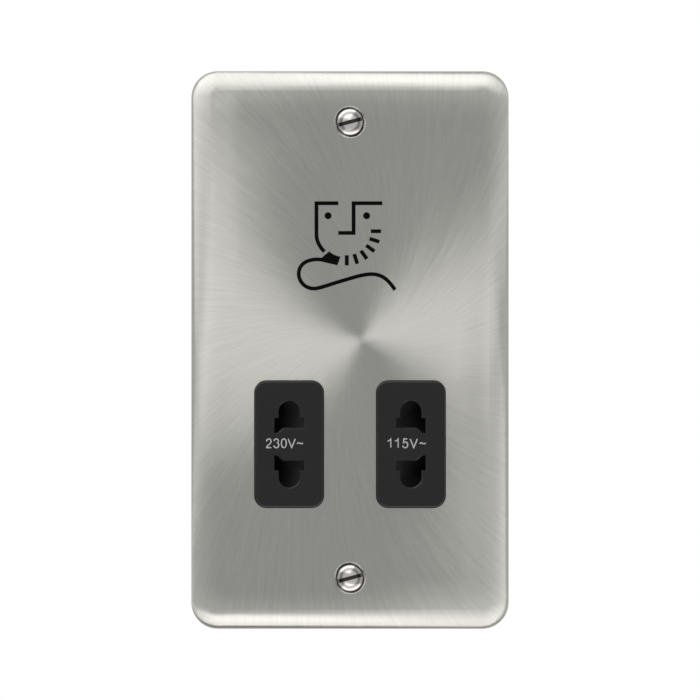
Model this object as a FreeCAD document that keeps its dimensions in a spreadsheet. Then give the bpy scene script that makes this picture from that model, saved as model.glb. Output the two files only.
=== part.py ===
import FreeCAD, Part
import math
import os
import re

import Sketcher

# A flush shaver socket with two outlets behind one pressed metal faceplate.
# X runs to the right, Z runs up and Y runs into the wall. The wall surface is the plane y = 0,
# and the origin is midway between the two fixing screws on that plane.
# Every driving size is in millimetres, or in degrees where its name says so.
SIZES = {
    # Faceplate: flat sheet with a rolled edge that comes down to the wall
    "plate_width": 84.0,
    "plate_height": 147.6,
    "plate_depth": 4.5,
    "plate_sheet": 1.0,
    "plate_corner": 7.0,
    "roll_width": 5.2,
    "roll_rim_radius": 2.4,
    "roll_crown_radius": 7.0,
    # Windows in the faceplate and the raised blocks that fill them
    "window_width": 18.5,
    "window_height": 33.8,
    "window_corner": 3.3,
    "window_gap": 0.15,
    "block_proud": 0.4,
    "block_edge": 0.5,
    # Pin apertures, measured from the middle of an outlet
    "pin_slot_width": 5.5,
    "pin_slot_reach": 11.4,
    "blade_slot_width": 7.7,
    "blade_slot_outer": 6.9,
    "blade_slot_inner": 4.4,
    "angled_start": 1.6,
    "angled_flat": 0.6,
    "angled_drop": 1.4,
    "lead_in": 0.4,
    # Fixing screws and the pressed countersinks that take their heads. The inset puts the
    # screws at the standard 120.6 from one another.
    "fixing_inset": 13.5,
    "fixing_thread": 3.5,
    "fixing_length": 27.0,
    "fixing_hole_gap": 0.2,
    "fixing_head": 7.3,
    "fixing_head_rim": 0.25,
    "fixing_head_dome": 0.95,
    "fixing_slot_width": 1.0,
    "fixing_slot_depth": 1.15,
    "fixing_slot_turn_degrees": 15.0,
    "sink_gap": 0.55,
    "sink_edge": 0.3,
    # Front moulding
    "flange_sheet": 2.0,
    "flange_gap": 0.6,
    "flange_corner": 1.5,
    "dimple_gap": 0.6,
    "lip_depth": 4.0,
    "lip_sheet": 1.35,
    "lip_post_gap": 3.2,
    "track_wall": 1.4,
    # Interlocked shutter, its track and its two springs
    "slide_gap": 0.3,
    "shutter_cover": 0.3,
    "shutter_land": 0.8,
    "shutter_depth": 7.0,
    "shutter_overlap": 1.4,
    "shutter_wall": 1.3,
    "shutter_flank": 2.4,
    "shutter_spine": 7.0,
    "shutter_end_gap": 0.6,
    "spring_bore": 4.4,
    "spring_web": 8.0,
    "spring_diameter": 3.4,
    "spring_wire": 0.45,
    "spring_turns": 5.0,
    "spring_spigot": 2.2,
    "spring_spigot_length": 1.6,
    # Contact carrier, contacts and the link between the two upper contacts
    "carrier_gap": 0.45,
    "carrier_depth": 8.2,
    "carrier_floor": 1.2,
    "carrier_ear": 2.5,
    "carrier_ear_width": 9.0,
    "carrier_boss_wall": 1.4,
    "carrier_boss_merge": 0.6,
    "carrier_block_gap": 2.2,
    "contact_sheet": 0.5,
    "contact_span": 7.2,
    "contact_spare": 0.1,
    "contact_reach": 6.2,
    "contact_knee": 2.2,
    "contact_waist": 4.7,
    "contact_pinch": 3.8,
    "contact_mouth": 6.0,
    "cavity_gap": 0.3,
    "tail_width": 2.5,
    "tail_length": 3.9,
    "tail_gap": 0.1,
    "link_sheet": 0.6,
    "link_width": 4.0,
    "link_overhang": 2.5,
    # Rear case
    "flange_lap": 3.7,
    "fixing_case_gap": 6.3,
    "case_wall": 1.8,
    "case_corner": 3.0,
    "case_edge": 1.2,
    "case_gap": 0.15,
    "wiring_room": 7.9,
    "step_room": 2.4,
    "core_rib": 1.6,
    "core_rib_inset": 3.5,
    "core_rib_end": 1.0,
    "core_side_rib": 1.5,
    "core_side_gap": 0.2,
    "core_side_start": 6.5,
    "vent_end": 0.5,
    "vent_width": 2.2,
    "vent_count": 6.0,
    "side_vent_width": 2.0,
    "side_vent_count": 4.0,
    # Corner posts, the bushes on the plate and the screws that hold the case to them
    "post_inset": 5.0,
    "post_wall": 1.2,
    "post_well_gap": 0.5,
    "post_floor": 2.0,
    "post_socket": 3.0,
    "post_hole_gap": 0.15,
    "bush_wall": 1.0,
    "bush_gap": 0.2,
    "bush_blind": 0.8,
    "case_thread": 3.0,
    "case_screw_tip_gap": 0.2,
    "case_screw_head": 5.2,
    "case_screw_head_height": 2.0,
    # Transformer
    "core_side_room": 3.7,
    "core_low_room": 5.4,
    "core_stack": 21.0,
    "core_hole": 3.4,
    "core_gap": 0.3,
    "bobbin_reach": 7.4,
    "bobbin_front_gap": 0.9,
    "bobbin_back_gap": 1.0,
    "bobbin_sheet": 1.0,
    "bobbin_gap": 0.2,
    "bobbin_corner": 1.5,
    "winding_inset": 0.9,
    "winding_corner": 3.0,
    "tag_rail_gap": 2.4,
    "tag_rail_height": 2.7,
    "tag_rail_inset": 3.3,
    "tag_width": 0.9,
    "tag_length": 5.0,
    "tag_root": 2.0,
    "tag_end": 2.5,
    "secondary_tag_count": 5.0,
    "primary_tag_count": 3.0,
    # Thermal cut-out
    "cutout_width": 16.0,
    "cutout_depth": 4.0,
    "cutout_web": 0.5,
    "cutout_sink": 1.5,
    "cutout_gap": 0.1,
    "cutout_edge": 0.6,
    "cutout_tab": 3.0,
    "cutout_tab_width": 2.8,
    "cutout_tab_sheet": 0.6,
    # Supply terminals. Their row stands to the right, so that no wire meets the fixing screw.
    "terminal_post_gap": 6.25,
    "block_height": 10.6,
    "block_depth": 10.4,
    "block_wall": 1.5,
    "pillar_width": 6.4,
    "pillar_depth": 8.0,
    "pillar_gap": 0.1,
    "pillar_edge": 0.3,
    "wire_bore": 3.5,
    "wire_bore_floor": 1.4,
    "wire_bore_end": 1.0,
    "wire_entry_gap": 1.35,
    "wire_funnel": 0.7,
    "clamp_thread": 3.5,
    "clamp_level": 5.8,
    "clamp_lift": 0.5,
    "clamp_sunk": 0.2,
    "clamp_head": 5.2,
    "clamp_head_height": 1.6,
    "clamp_access_gap": 0.3,
    # Small screw heads
    "driver_slot": 0.9,
    "driver_slot_depth": 0.9,
    "carrier_thread": 2.2,
    "carrier_hole_gap": 0.15,
    "carrier_head_gap": 0.3,
    "carrier_screw_length": 7.0,
    "carrier_screw_head": 4.2,
    "carrier_screw_head_height": 1.7,
    "screw_end": 0.3,
    "boss_hole_spare": 0.5,
    # Earth stud on the plate, its ring tag and its nut
    "earth_place": 9.0,
    "earth_height": 6.2,
    "earth_thread": 3.0,
    "earth_stud_length": 7.5,
    "earth_hole_gap": 0.3,
    "earth_ring": 7.0,
    "earth_ring_sheet": 0.7,
    "earth_barrel": 2.6,
    "earth_barrel_length": 5.0,
    "earth_gap": 0.1,
    "earth_nut_flats": 5.5,
    "earth_nut_height": 2.4,
}

# Diameters that follow what goes through them
SINK_MOUTH = "(fixing_head + 2 * sink_gap)"
FIXING_HOLE = "(fixing_thread + 2 * fixing_hole_gap)"
CARRIER_BOSS = "(carrier_thread + 2 * carrier_boss_wall)"
BUSH = "(case_thread + 2 * bush_wall)"
BUSH_HOLE = f"({BUSH} + 2 * bush_gap)"
POST_WELL = "(case_screw_head + 2 * post_well_gap)"
POST = f"({POST_WELL} + 2 * post_wall)"
WIRE_ENTRY = "(wire_bore + 2 * wire_entry_gap)"

# Levels along Y, from the front to the back
PLATE_FRONT = "(-plate_depth)"
SHEET_BACK = "(plate_sheet - plate_depth)"
BLOCK_FRONT = "(-plate_depth - block_proud)"
FLANGE_BACK = f"({SHEET_BACK} + flange_sheet)"
SHUTTER_FRONT = f"({FLANGE_BACK} + slide_gap)"
SHUTTER_BACK = f"({SHUTTER_FRONT} + shutter_depth)"
CARRIER_FRONT = f"({SHUTTER_BACK} + slide_gap)"
CARRIER_BACK = f"({CARRIER_FRONT} + carrier_depth)"
CAVITY_BACK = f"({CARRIER_BACK} - carrier_floor)"
STEP_INSIDE = f"({CARRIER_BACK} + wiring_room)"
STEP_BACK = f"({STEP_INSIDE} + case_wall)"
BOBBIN_DEPTH = "(core_stack + 2 * bobbin_reach)"
BOBBIN_FRONT = f"({FLANGE_BACK} + bobbin_front_gap)"
BOBBIN_BACK = f"({BOBBIN_FRONT} + {BOBBIN_DEPTH})"
DEEP_INSIDE = f"({BOBBIN_BACK} + bobbin_back_gap)"
DEEP_BACK = f"({DEEP_INSIDE} + case_wall)"
CORE_FRONT = f"({BOBBIN_FRONT} + bobbin_reach)"
CORE_BACK = f"({CORE_FRONT} + core_stack)"
CORE_MIDDLE = f"({CORE_FRONT} + core_stack / 2)"
POST_SOCKET_END = f"({FLANGE_BACK} + post_socket)"
POST_SEAT = f"({POST_SOCKET_END} + post_floor)"
PILLAR_BACK = f"({STEP_INSIDE} - block_wall)"
PILLAR_FRONT = f"({PILLAR_BACK} - pillar_depth)"
BORE_MIDDLE = f"({PILLAR_FRONT} + wire_bore_floor + wire_bore / 2)"
CLAMP_SEAT = f"({STEP_BACK} - clamp_head_height - clamp_sunk)"
SPRING_MIDDLE = f"({SHUTTER_FRONT} + shutter_depth / 2)"

# Places along X, from the plate's side inwards
FLANGE_HALF_X = "(plate_width / 2 - roll_width - flange_gap)"
CASE_HALF_X = f"({FLANGE_HALF_X} - flange_lap)"
CASE_INSIDE_X = f"({CASE_HALF_X} - case_wall)"
POST_X = f"({CASE_HALF_X} - post_inset)"
CARRIER_HALF_X = f"({CASE_INSIDE_X} - carrier_gap)"
TRACK_HALF_X = f"({CARRIER_HALF_X} - track_wall)"
SHUTTER_TRAVEL = "(blade_slot_width + shutter_cover)"
SHUTTER_BACK_HALF = f"({TRACK_HALF_X} - shutter_end_gap - {SHUTTER_TRAVEL})"
OUTLET_X = f"({SHUTTER_BACK_HALF} - shutter_cover - blade_slot_width / 2)"
SHUTTER_FRONT_HALF = f"({OUTLET_X} - blade_slot_width / 2)"
TERMINAL_PITCH = "(pillar_width + 2 * pillar_gap + block_wall)"
BLOCK_HALF_X = f"({TERMINAL_PITCH} * 1.5 + block_wall / 2)"
BLOCK_X = f"({POST_X} - {POST} / 2 - terminal_post_gap - {BLOCK_HALF_X})"

# Places along Z, from the plate's lower end upwards
FIXING_Z = "(plate_height / 2 - fixing_inset)"
FLANGE_HALF_Z = "(plate_height / 2 - roll_width - flange_gap)"
CASE_HALF_Z = f"({FIXING_Z} - fixing_case_gap)"
CASE_INSIDE_Z = f"({CASE_HALF_Z} - case_wall)"
POST_Z = f"({CASE_HALF_Z} - post_inset)"
PILLAR_LOW = f"(block_wall - {CASE_INSIDE_Z})"
PILLAR_TOP = f"(block_height - {CASE_INSIDE_Z})"
CLAMP_Z = f"({PILLAR_LOW} + clamp_level)"
EARTH_Z = f"(earth_height - {CASE_INSIDE_Z})"
SHUTTER_HALF_Z = "(pin_slot_reach + shutter_overlap)"
TRACK_HALF_Z = f"({SHUTTER_HALF_Z} + slide_gap)"
CARRIER_HALF_Z = f"({TRACK_HALF_Z} + track_wall)"
CARRIER_BOSS_Z = f"({CARRIER_HALF_Z} + {CARRIER_BOSS} / 2 - carrier_boss_merge)"
OUTLET_Z = f"({PILLAR_TOP} + carrier_block_gap + {CARRIER_HALF_Z})"
CONTACT_LOW = "(blade_slot_inner - contact_spare)"
CONTACT_HEIGHT = "(pin_slot_reach - blade_slot_inner + 2 * contact_spare)"
TAIL_Z = f"({CONTACT_LOW} + {CONTACT_HEIGHT} / 2)"
CUTOUT_HALF_Z = f"({CONTACT_LOW} - cavity_gap - cutout_web)"
CORE_LOW = f"({OUTLET_Z} + {CARRIER_BOSS_Z} + {CARRIER_BOSS} / 2 + core_low_room)"
CORE_TOP = f"({POST_Z} - {POST} / 2 - core_gap)"
STEP_Z = f"({CORE_LOW} - step_room - case_wall)"

# Laminations stamped without waste are three centre legs wide and five yokes high
CORE_HALF_X = f"({CASE_INSIDE_X} - core_side_room)"
CORE_LEG = f"(2 * {CORE_HALF_X} / 3)"
CORE_YOKE = f"(({CORE_TOP} - {CORE_LOW}) / 5)"
WINDOW_LOW = f"({CORE_LOW} + {CORE_YOKE})"
WINDOW_TOP = f"({CORE_TOP} - {CORE_YOKE})"

SIDES = {"left": -1, "right": 1}
LEVELS = {"upper": 1, "lower": -1}
TERMINALS = {"live": -1, "earth": 0, "neutral": 1}

doc = FreeCAD.newDocument("ShaverSocket")
sheet = doc.addObject("Spreadsheet::Sheet", "Sizes")
for row, (name, size) in enumerate(SIZES.items(), start=1):
    sheet.set(f"A{row}", name)
    sheet.set(f"B{row}", str(size))
    sheet.setAlias(f"B{row}", name)
doc.recompute()


def bound(text):
    """The expression with every size name pointed at its cell in the sheet."""
    return re.sub(r"[a-z_]+", lambda m: f"Sizes.{m[0]}" if m[0] in SIZES else m[0], str(text))


def value(text):
    """What the expression comes to, as a plain number."""
    return float(sheet.evalExpression(bound(text)))


def bind(feature, prop, text):
    """Ties a feature's property to the sheet."""
    feature.setExpression(prop, bound(text))


def new_body(label):
    """An empty body whose label names its file."""
    body = doc.addObject("PartDesign::Body", label)
    body.Label = label
    return body


def place(body, x="0", y="0", z="0"):
    """Puts a body at a point that is worked out from the sheet."""
    for axis, text in zip("xyz", (x, y, z)):
        bind(body, f"Placement.Base.{axis}", text)


def turn(body, axis, degrees):
    """Turns a body about an axis through its own origin."""
    body.Placement.Rotation = FreeCAD.Rotation(FreeCAD.Vector(*axis), degrees)


def sketch_on(body, plane, label, level):
    """A sketch parallel to XY, XZ or YZ, at a level along Z, Y or X."""
    sketch = body.newObject("Sketcher::SketchObject", label)
    role = f"{plane}_Plane"
    support = [f for f in body.Origin.OriginFeatures if f.Role == role][0]
    sketch.AttachmentSupport = (support, [""])
    sketch.MapMode = "FlatFace"
    normal_sign = "-" if plane == "XZ" else ""
    bind(sketch, ".AttachmentOffset.Base.z", f"{normal_sign}({level})")
    return sketch


def pin(sketch, geometry, point, x=None, y=None):
    """Fixes a point of a sketch at a place worked out from the sheet."""
    for kind, text in (("DistanceX", x), ("DistanceY", y)):
        if text is not None:
            index = sketch.addConstraint(Sketcher.Constraint(kind, geometry, point, value(text)))
            bind(sketch, f"Constraints[{index}]", text)


def outline(sketch, corners, arcs=None):
    """A closed outline through corners, each an (x, y) pair of expressions.

    arcs maps a corner's number to the arc that leaves it: its centre's x and y, which of the
    two is pinned, and whether it runs anticlockwise.
    """
    arcs = arcs or {}
    points = [FreeCAD.Vector(value(x), value(y), 0) for x, y in corners]
    segments = []
    for number, start in enumerate(points):
        end = points[(number + 1) % len(points)]
        if number in arcs:
            centre_x, centre_y, _, anticlockwise = arcs[number]
            centre = FreeCAD.Vector(value(centre_x), value(centre_y), 0)
            first, last = (start, end) if anticlockwise else (end, start)
            angles = [math.atan2(p.y - centre.y, p.x - centre.x) for p in (first, last)]
            circle = Part.Circle(centre, FreeCAD.Vector(0, 0, 1), (start - centre).Length)
            geometry = sketch.addGeometry(Part.ArcOfCircle(circle, *angles))
            segments.append((geometry, 1, 2) if anticlockwise else (geometry, 2, 1))
        else:
            segments.append((sketch.addGeometry(Part.LineSegment(start, end)), 1, 2))
    for number, (geometry, start, end) in enumerate(segments):
        after, after_start, _ = segments[(number + 1) % len(segments)]
        sketch.addConstraint(Sketcher.Constraint("Coincident", geometry, end, after, after_start))
        pin(sketch, geometry, start, *corners[number])
        if number in arcs:
            centre_x, centre_y, pinned, _ = arcs[number]
            pin(sketch, geometry, 3, centre_x if pinned == "x" else None,
                centre_y if pinned == "y" else None)


def rectangle(sketch, left, right, low, high):
    """A rectangle between two places along each of the sketch's axes."""
    outline(sketch, [(left, low), (right, low), (right, high), (left, high)])


def rounded_rectangle(sketch, left, right, low, high, radius):
    """A rectangle with tangent arcs of one radius at its corners."""
    right_angle = math.pi / 2
    reach = value(radius)
    x_low, x_high = value(left) + reach, value(right) - reach
    y_low, y_high = value(low) + reach, value(high) - reach
    centres = [(x_high, y_low), (x_high, y_high), (x_low, y_high), (x_low, y_low)]
    places = [(f"({right}) - ({radius})", f"({low}) + ({radius})"),
              (f"({right}) - ({radius})", f"({high}) - ({radius})"),
              (f"({left}) + ({radius})", f"({high}) - ({radius})"),
              (f"({left}) + ({radius})", f"({low}) + ({radius})")]
    corners = []
    for number, (x, y) in enumerate(centres):
        circle = Part.Circle(FreeCAD.Vector(x, y, 0), FreeCAD.Vector(0, 0, 1), reach)
        start = (number - 1) * right_angle
        corners.append(sketch.addGeometry(Part.ArcOfCircle(circle, start, start + right_angle)))
    for number, corner in enumerate(corners):
        after = corners[(number + 1) % 4]
        start = sketch.Geometry[corner].EndPoint
        end = sketch.Geometry[after].StartPoint
        line = sketch.addGeometry(Part.LineSegment(start, end))
        sketch.addConstraint(Sketcher.Constraint("Tangent", corner, 2, line, 1))
        sketch.addConstraint(Sketcher.Constraint("Tangent", line, 2, after, 1))
    for corner, (x, y) in zip(corners, places):
        pin(sketch, corner, 3, x, y)
    index = sketch.addConstraint(Sketcher.Constraint("Radius", corners[0], reach))
    bind(sketch, f"Constraints[{index}]", radius)
    for corner in corners[1:]:
        sketch.addConstraint(Sketcher.Constraint("Equal", corners[0], corner))


def circle(sketch, x, y, diameter):
    """A full circle."""
    centre = FreeCAD.Vector(value(x), value(y), 0)
    whole = Part.Circle(centre, FreeCAD.Vector(0, 0, 1), value(diameter) / 2)
    geometry = sketch.addGeometry(whole)
    pin(sketch, geometry, 3, x, y)
    index = sketch.addConstraint(Sketcher.Constraint("Diameter", geometry, value(diameter)))
    bind(sketch, f"Constraints[{index}]", diameter)


def slot(sketch, x, low, high, width):
    """A slot with round ends that runs along the sketch's second axis."""
    left, right = f"({x}) - ({width}) / 2", f"({x}) + ({width}) / 2"
    base, top = f"({low}) + ({width}) / 2", f"({high}) - ({width}) / 2"
    outline(sketch, [(left, base), (right, base), (right, top), (left, top)],
            {0: (x, base, "y", True), 2: (x, top, "y", True)})


def finish(body, feature):
    """Makes a feature the body's tip and checks that it could be built."""
    body.Tip = feature
    doc.recompute()
    if not feature.isValid() or feature.Shape.isNull():
        raise RuntimeError(f"{body.Label}: {feature.Label} could not be built")
    return feature


def pad(body, sketch, length, towards_wall=True):
    """Adds the sketch's area over a length along its plane's axis."""
    feature = body.newObject("PartDesign::Pad", f"{sketch.Label}_pad")
    feature.Profile = sketch
    feature.Reversed = towards_wall and "XZ" in sketch.AttachmentSupport[0][0].Role
    bind(feature, "Length", length)
    return finish(body, feature)


def cut(body, sketch, length, backwards=False):
    """Takes the sketch's area away: towards the wall from an XZ sketch, and down its axis from
    another, or the other way if backwards."""
    before = body.Tip.Shape.Volume
    feature = body.newObject("PartDesign::Pocket", f"{sketch.Label}_cut")
    feature.Profile = sketch
    feature.Reversed = backwards
    bind(feature, "Length", length)
    finish(body, feature)
    if feature.Shape.Volume > before - 1e-3:
        raise RuntimeError(f"{body.Label}: {feature.Label} cuts nothing")
    return feature


def revolve(body, sketch, axis="V_Axis"):
    """Adds the sketch's area turned about one of its axes."""
    feature = body.newObject("PartDesign::Revolution", f"{sketch.Label}_turned")
    feature.Profile = sketch
    feature.ReferenceAxis = (sketch, [axis])
    feature.Angle = 360
    return finish(body, feature)


def groove(body, sketch, axis="V_Axis"):
    """Takes the sketch's area away, turned about one of its axes."""
    before = body.Tip.Shape.Volume
    feature = body.newObject("PartDesign::Groove", f"{sketch.Label}_turned")
    feature.Profile = sketch
    feature.ReferenceAxis = (sketch, [axis])
    feature.Angle = 360
    finish(body, feature)
    if feature.Shape.Volume > before - 1e-3:
        raise RuntimeError(f"{body.Label}: {feature.Label} cuts nothing")
    return feature


def mirror(body, features, plane):
    """Repeats features on the other side of one of the body's planes."""
    feature = body.newObject("PartDesign::Mirrored", "mirrored")
    feature.Originals = features
    role = f"{plane}_Plane"
    support = [f for f in body.Origin.OriginFeatures if f.Role == role][0]
    feature.MirrorPlane = (support, [""])
    return finish(body, feature)


def dress(body, kind, size, chosen):
    """A Fillet or Chamfer on the edges of the body's tip that chosen picks."""
    base = body.Tip
    names = [f"Edge{n}" for n, edge in enumerate(base.Shape.Edges, start=1) if chosen(edge)]
    if not names:
        raise RuntimeError(f"{body.Label}: no edge to dress")
    feature = body.newObject(f"PartDesign::{kind}", kind.lower())
    feature.Base = (base, names)
    bind(feature, "Radius" if kind == "Fillet" else "Size", size)
    return finish(body, feature)


def lies_at(edge, axis, text):
    """True if the whole edge lies at one level along an axis."""
    level = value(text)
    box = edge.BoundBox
    low, high = getattr(box, f"{axis}Min"), getattr(box, f"{axis}Max")
    return abs(low - level) < 1e-4 and abs(high - level) < 1e-4


def near(edge, x, z, reach):
    """True if the edge's middle is within reach of a place, seen from the front."""
    middle = edge.BoundBox.Center
    return math.hypot(middle.x - value(x), middle.z - value(z)) <= value(reach)


def build_faceplate():
    """Pressed plate: flat sheet, rolled edge, two windows and two pressed countersinks."""
    body = new_body("faceplate")
    half_x, half_z = "plate_width / 2", "plate_height / 2"
    flat = sketch_on(body, "XZ", "flat", PLATE_FRONT)
    rounded_rectangle(flat, f"roll_width - {half_x}", f"{half_x} - roll_width",
                      f"roll_width - {half_z}", f"{half_z} - roll_width",
                      "plate_corner - roll_width")
    pad(body, flat, "plate_sheet")

    path = sketch_on(body, "XZ", "rim_path", "0")
    rounded_rectangle(path, f"-{half_x}", half_x, f"-{half_z}", half_z, "plate_corner")
    roll = roll_profile(body)
    rim = body.newObject("PartDesign::AdditivePipe", "rolled_edge")
    rim.Profile = roll
    rim.Spine = (path, [""])
    finish(body, rim)

    window = sketch_on(body, "XZ", "window", PLATE_FRONT)
    rounded_rectangle(window, f"{OUTLET_X} - window_width / 2", f"{OUTLET_X} + window_width / 2",
                      f"{OUTLET_Z} - window_height / 2", f"{OUTLET_Z} + window_height / 2",
                      "window_corner")
    right_window = cut(body, window, "plate_sheet")
    mirror(body, [right_window], "YZ")

    sink_depth = f"({SINK_MOUTH} - {FIXING_HOLE}) / 2"
    back_reach = f"({SINK_MOUTH} / 2 + plate_sheet * sqrt(2))"
    dimple = sketch_on(body, "YZ", "dimple", "0")
    outline(dimple, [(SHEET_BACK, FIXING_Z), (f"{PLATE_FRONT} + {sink_depth}", FIXING_Z),
                     (f"{PLATE_FRONT} + {sink_depth}", f"{FIXING_Z} + {back_reach} - {sink_depth}"),
                     (SHEET_BACK, f"{FIXING_Z} + {back_reach} - plate_sheet")])
    centre_line(dimple, FIXING_Z)
    pressed = revolve(body, dimple, "Axis0")
    sink = sketch_on(body, "YZ", "sink", "0")
    outline(sink, [(PLATE_FRONT, FIXING_Z), (f"{PLATE_FRONT} + {sink_depth}", FIXING_Z),
                   (f"{PLATE_FRONT} + {sink_depth}", f"{FIXING_Z} + {FIXING_HOLE} / 2"),
                   (PLATE_FRONT, f"{FIXING_Z} + {SINK_MOUTH} / 2")])
    centre_line(sink, FIXING_Z)
    cone = groove(body, sink, "Axis0")
    mirror(body, [pressed, cone], "XY")
    dress(body, "Fillet", "sink_edge",
          lambda e: lies_at(e, "Y", PLATE_FRONT)
          and (near(e, "0", FIXING_Z, f"{SINK_MOUTH} / 2")
               or near(e, "0", f"-{FIXING_Z}", f"{SINK_MOUTH} / 2")))


def roll_profile(body):
    """Section of the rolled edge: a tight rim arc and a slack crown arc of one sheet."""
    sketch = sketch_on(body, "XY", "roll", "0")
    rim, crown = value("roll_rim_radius"), value("roll_crown_radius")
    sheet_now, depth = value("plate_sheet"), value("plate_depth")
    edge, width = value("plate_width / 2"), value("roll_width")
    turn_angle = math.acos((width - rim) / (crown - rim))
    crown_centre = FreeCAD.Vector(edge - width, crown - depth, 0)
    rise = (crown - rim) * math.sin(turn_angle)
    rim_centre = FreeCAD.Vector(edge - rim, crown_centre.y - rise, 0)
    up = FreeCAD.Vector(0, 0, 1)
    arcs = {}
    for skin, inset in (("outer", 0.0), ("inner", sheet_now)):
        crown_circle = Part.Circle(crown_centre, up, crown - inset)
        rim_circle = Part.Circle(rim_centre, up, rim - inset)
        arcs[skin] = (
            sketch.addGeometry(Part.ArcOfCircle(crown_circle, -math.pi / 2, -turn_angle)),
            sketch.addGeometry(Part.ArcOfCircle(rim_circle, -turn_angle, 0)))
        foot = FreeCAD.Vector(edge - inset, rim_centre.y, 0)
        wall = sketch.addGeometry(Part.LineSegment(foot, FreeCAD.Vector(edge - inset, 0, 0)))
        arcs[skin] += (wall,)
        crown_arc, rim_arc, _ = arcs[skin]
        sketch.addConstraint(Sketcher.Constraint("Tangent", crown_arc, 2, rim_arc, 1))
        sketch.addConstraint(Sketcher.Constraint("Tangent", rim_arc, 2, wall, 1))
        sketch.addConstraint(Sketcher.Constraint("Vertical", wall))
        pin(sketch, wall, 2, y="0")
    outer, inner = arcs["outer"], arcs["inner"]
    for number in (0, 1):
        sketch.addConstraint(Sketcher.Constraint("Coincident", outer[number], 3, inner[number], 3))
    pin(sketch, outer[0], 3, x="plate_width / 2 - roll_width")
    pin(sketch, outer[0], 1, x="plate_width / 2 - roll_width", y=PLATE_FRONT)
    pin(sketch, outer[2], 2, x="plate_width / 2")
    pin(sketch, inner[0], 1, x="plate_width / 2 - roll_width", y=SHEET_BACK)
    for geometry, size in ((outer[0], "roll_crown_radius"), (outer[1], "roll_rim_radius")):
        index = sketch.addConstraint(Sketcher.Constraint("Radius", geometry, value(size)))
        bind(sketch, f"Constraints[{index}]", size)
    for first, second in ((0, 1), (2, 2)):
        start = sketch.Geometry[outer[first]]
        end = sketch.Geometry[inner[first]]
        a, b = (start.StartPoint, end.StartPoint) if first == 0 else (start.EndPoint, end.EndPoint)
        joint = sketch.addGeometry(Part.LineSegment(a, b))
        sketch.addConstraint(Sketcher.Constraint("Coincident", joint, 1, outer[first], second))
        sketch.addConstraint(Sketcher.Constraint("Coincident", joint, 2, inner[first], second))
    return sketch


def centre_line(sketch, level):
    """A construction line along the sketch's first axis, for a turned feature."""
    height = value(level)
    ends = [FreeCAD.Vector(x, height, 0) for x in (-1, 1)]
    line = sketch.addGeometry(Part.LineSegment(*ends), True)
    pin(sketch, line, 1, "-1", level)
    pin(sketch, line, 2, "1", level)


def pin_aperture(sketch, side, level):
    """One aperture for round, flat or angled pins. The four of them mirror one another."""
    half_slot, half_blade = "(pin_slot_width / 2)", "(blade_slot_width / 2)"
    top = "(pin_slot_reach - pin_slot_width / 2)"
    low = "(blade_slot_inner - angled_drop)"
    shape = [(half_slot, top), (f"-{half_slot}", top),
             (f"-{half_slot}", "blade_slot_outer"), (f"-{half_blade}", "blade_slot_outer"),
             (f"-{half_blade}", "blade_slot_inner"), ("angled_start", "blade_slot_inner"),
             (f"{half_blade} - angled_flat", low), (half_blade, low),
             (half_blade, "blade_slot_outer"), (half_slot, "blade_slot_outer")]
    corners = [(f"{side} * ({OUTLET_X} + {x})", f"{OUTLET_Z} + {level} * {z}")
               for x, z in shape]
    outline(sketch, corners,
            {0: (f"{side} * {OUTLET_X}", corners[0][1], "y", side * level > 0)})


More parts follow.
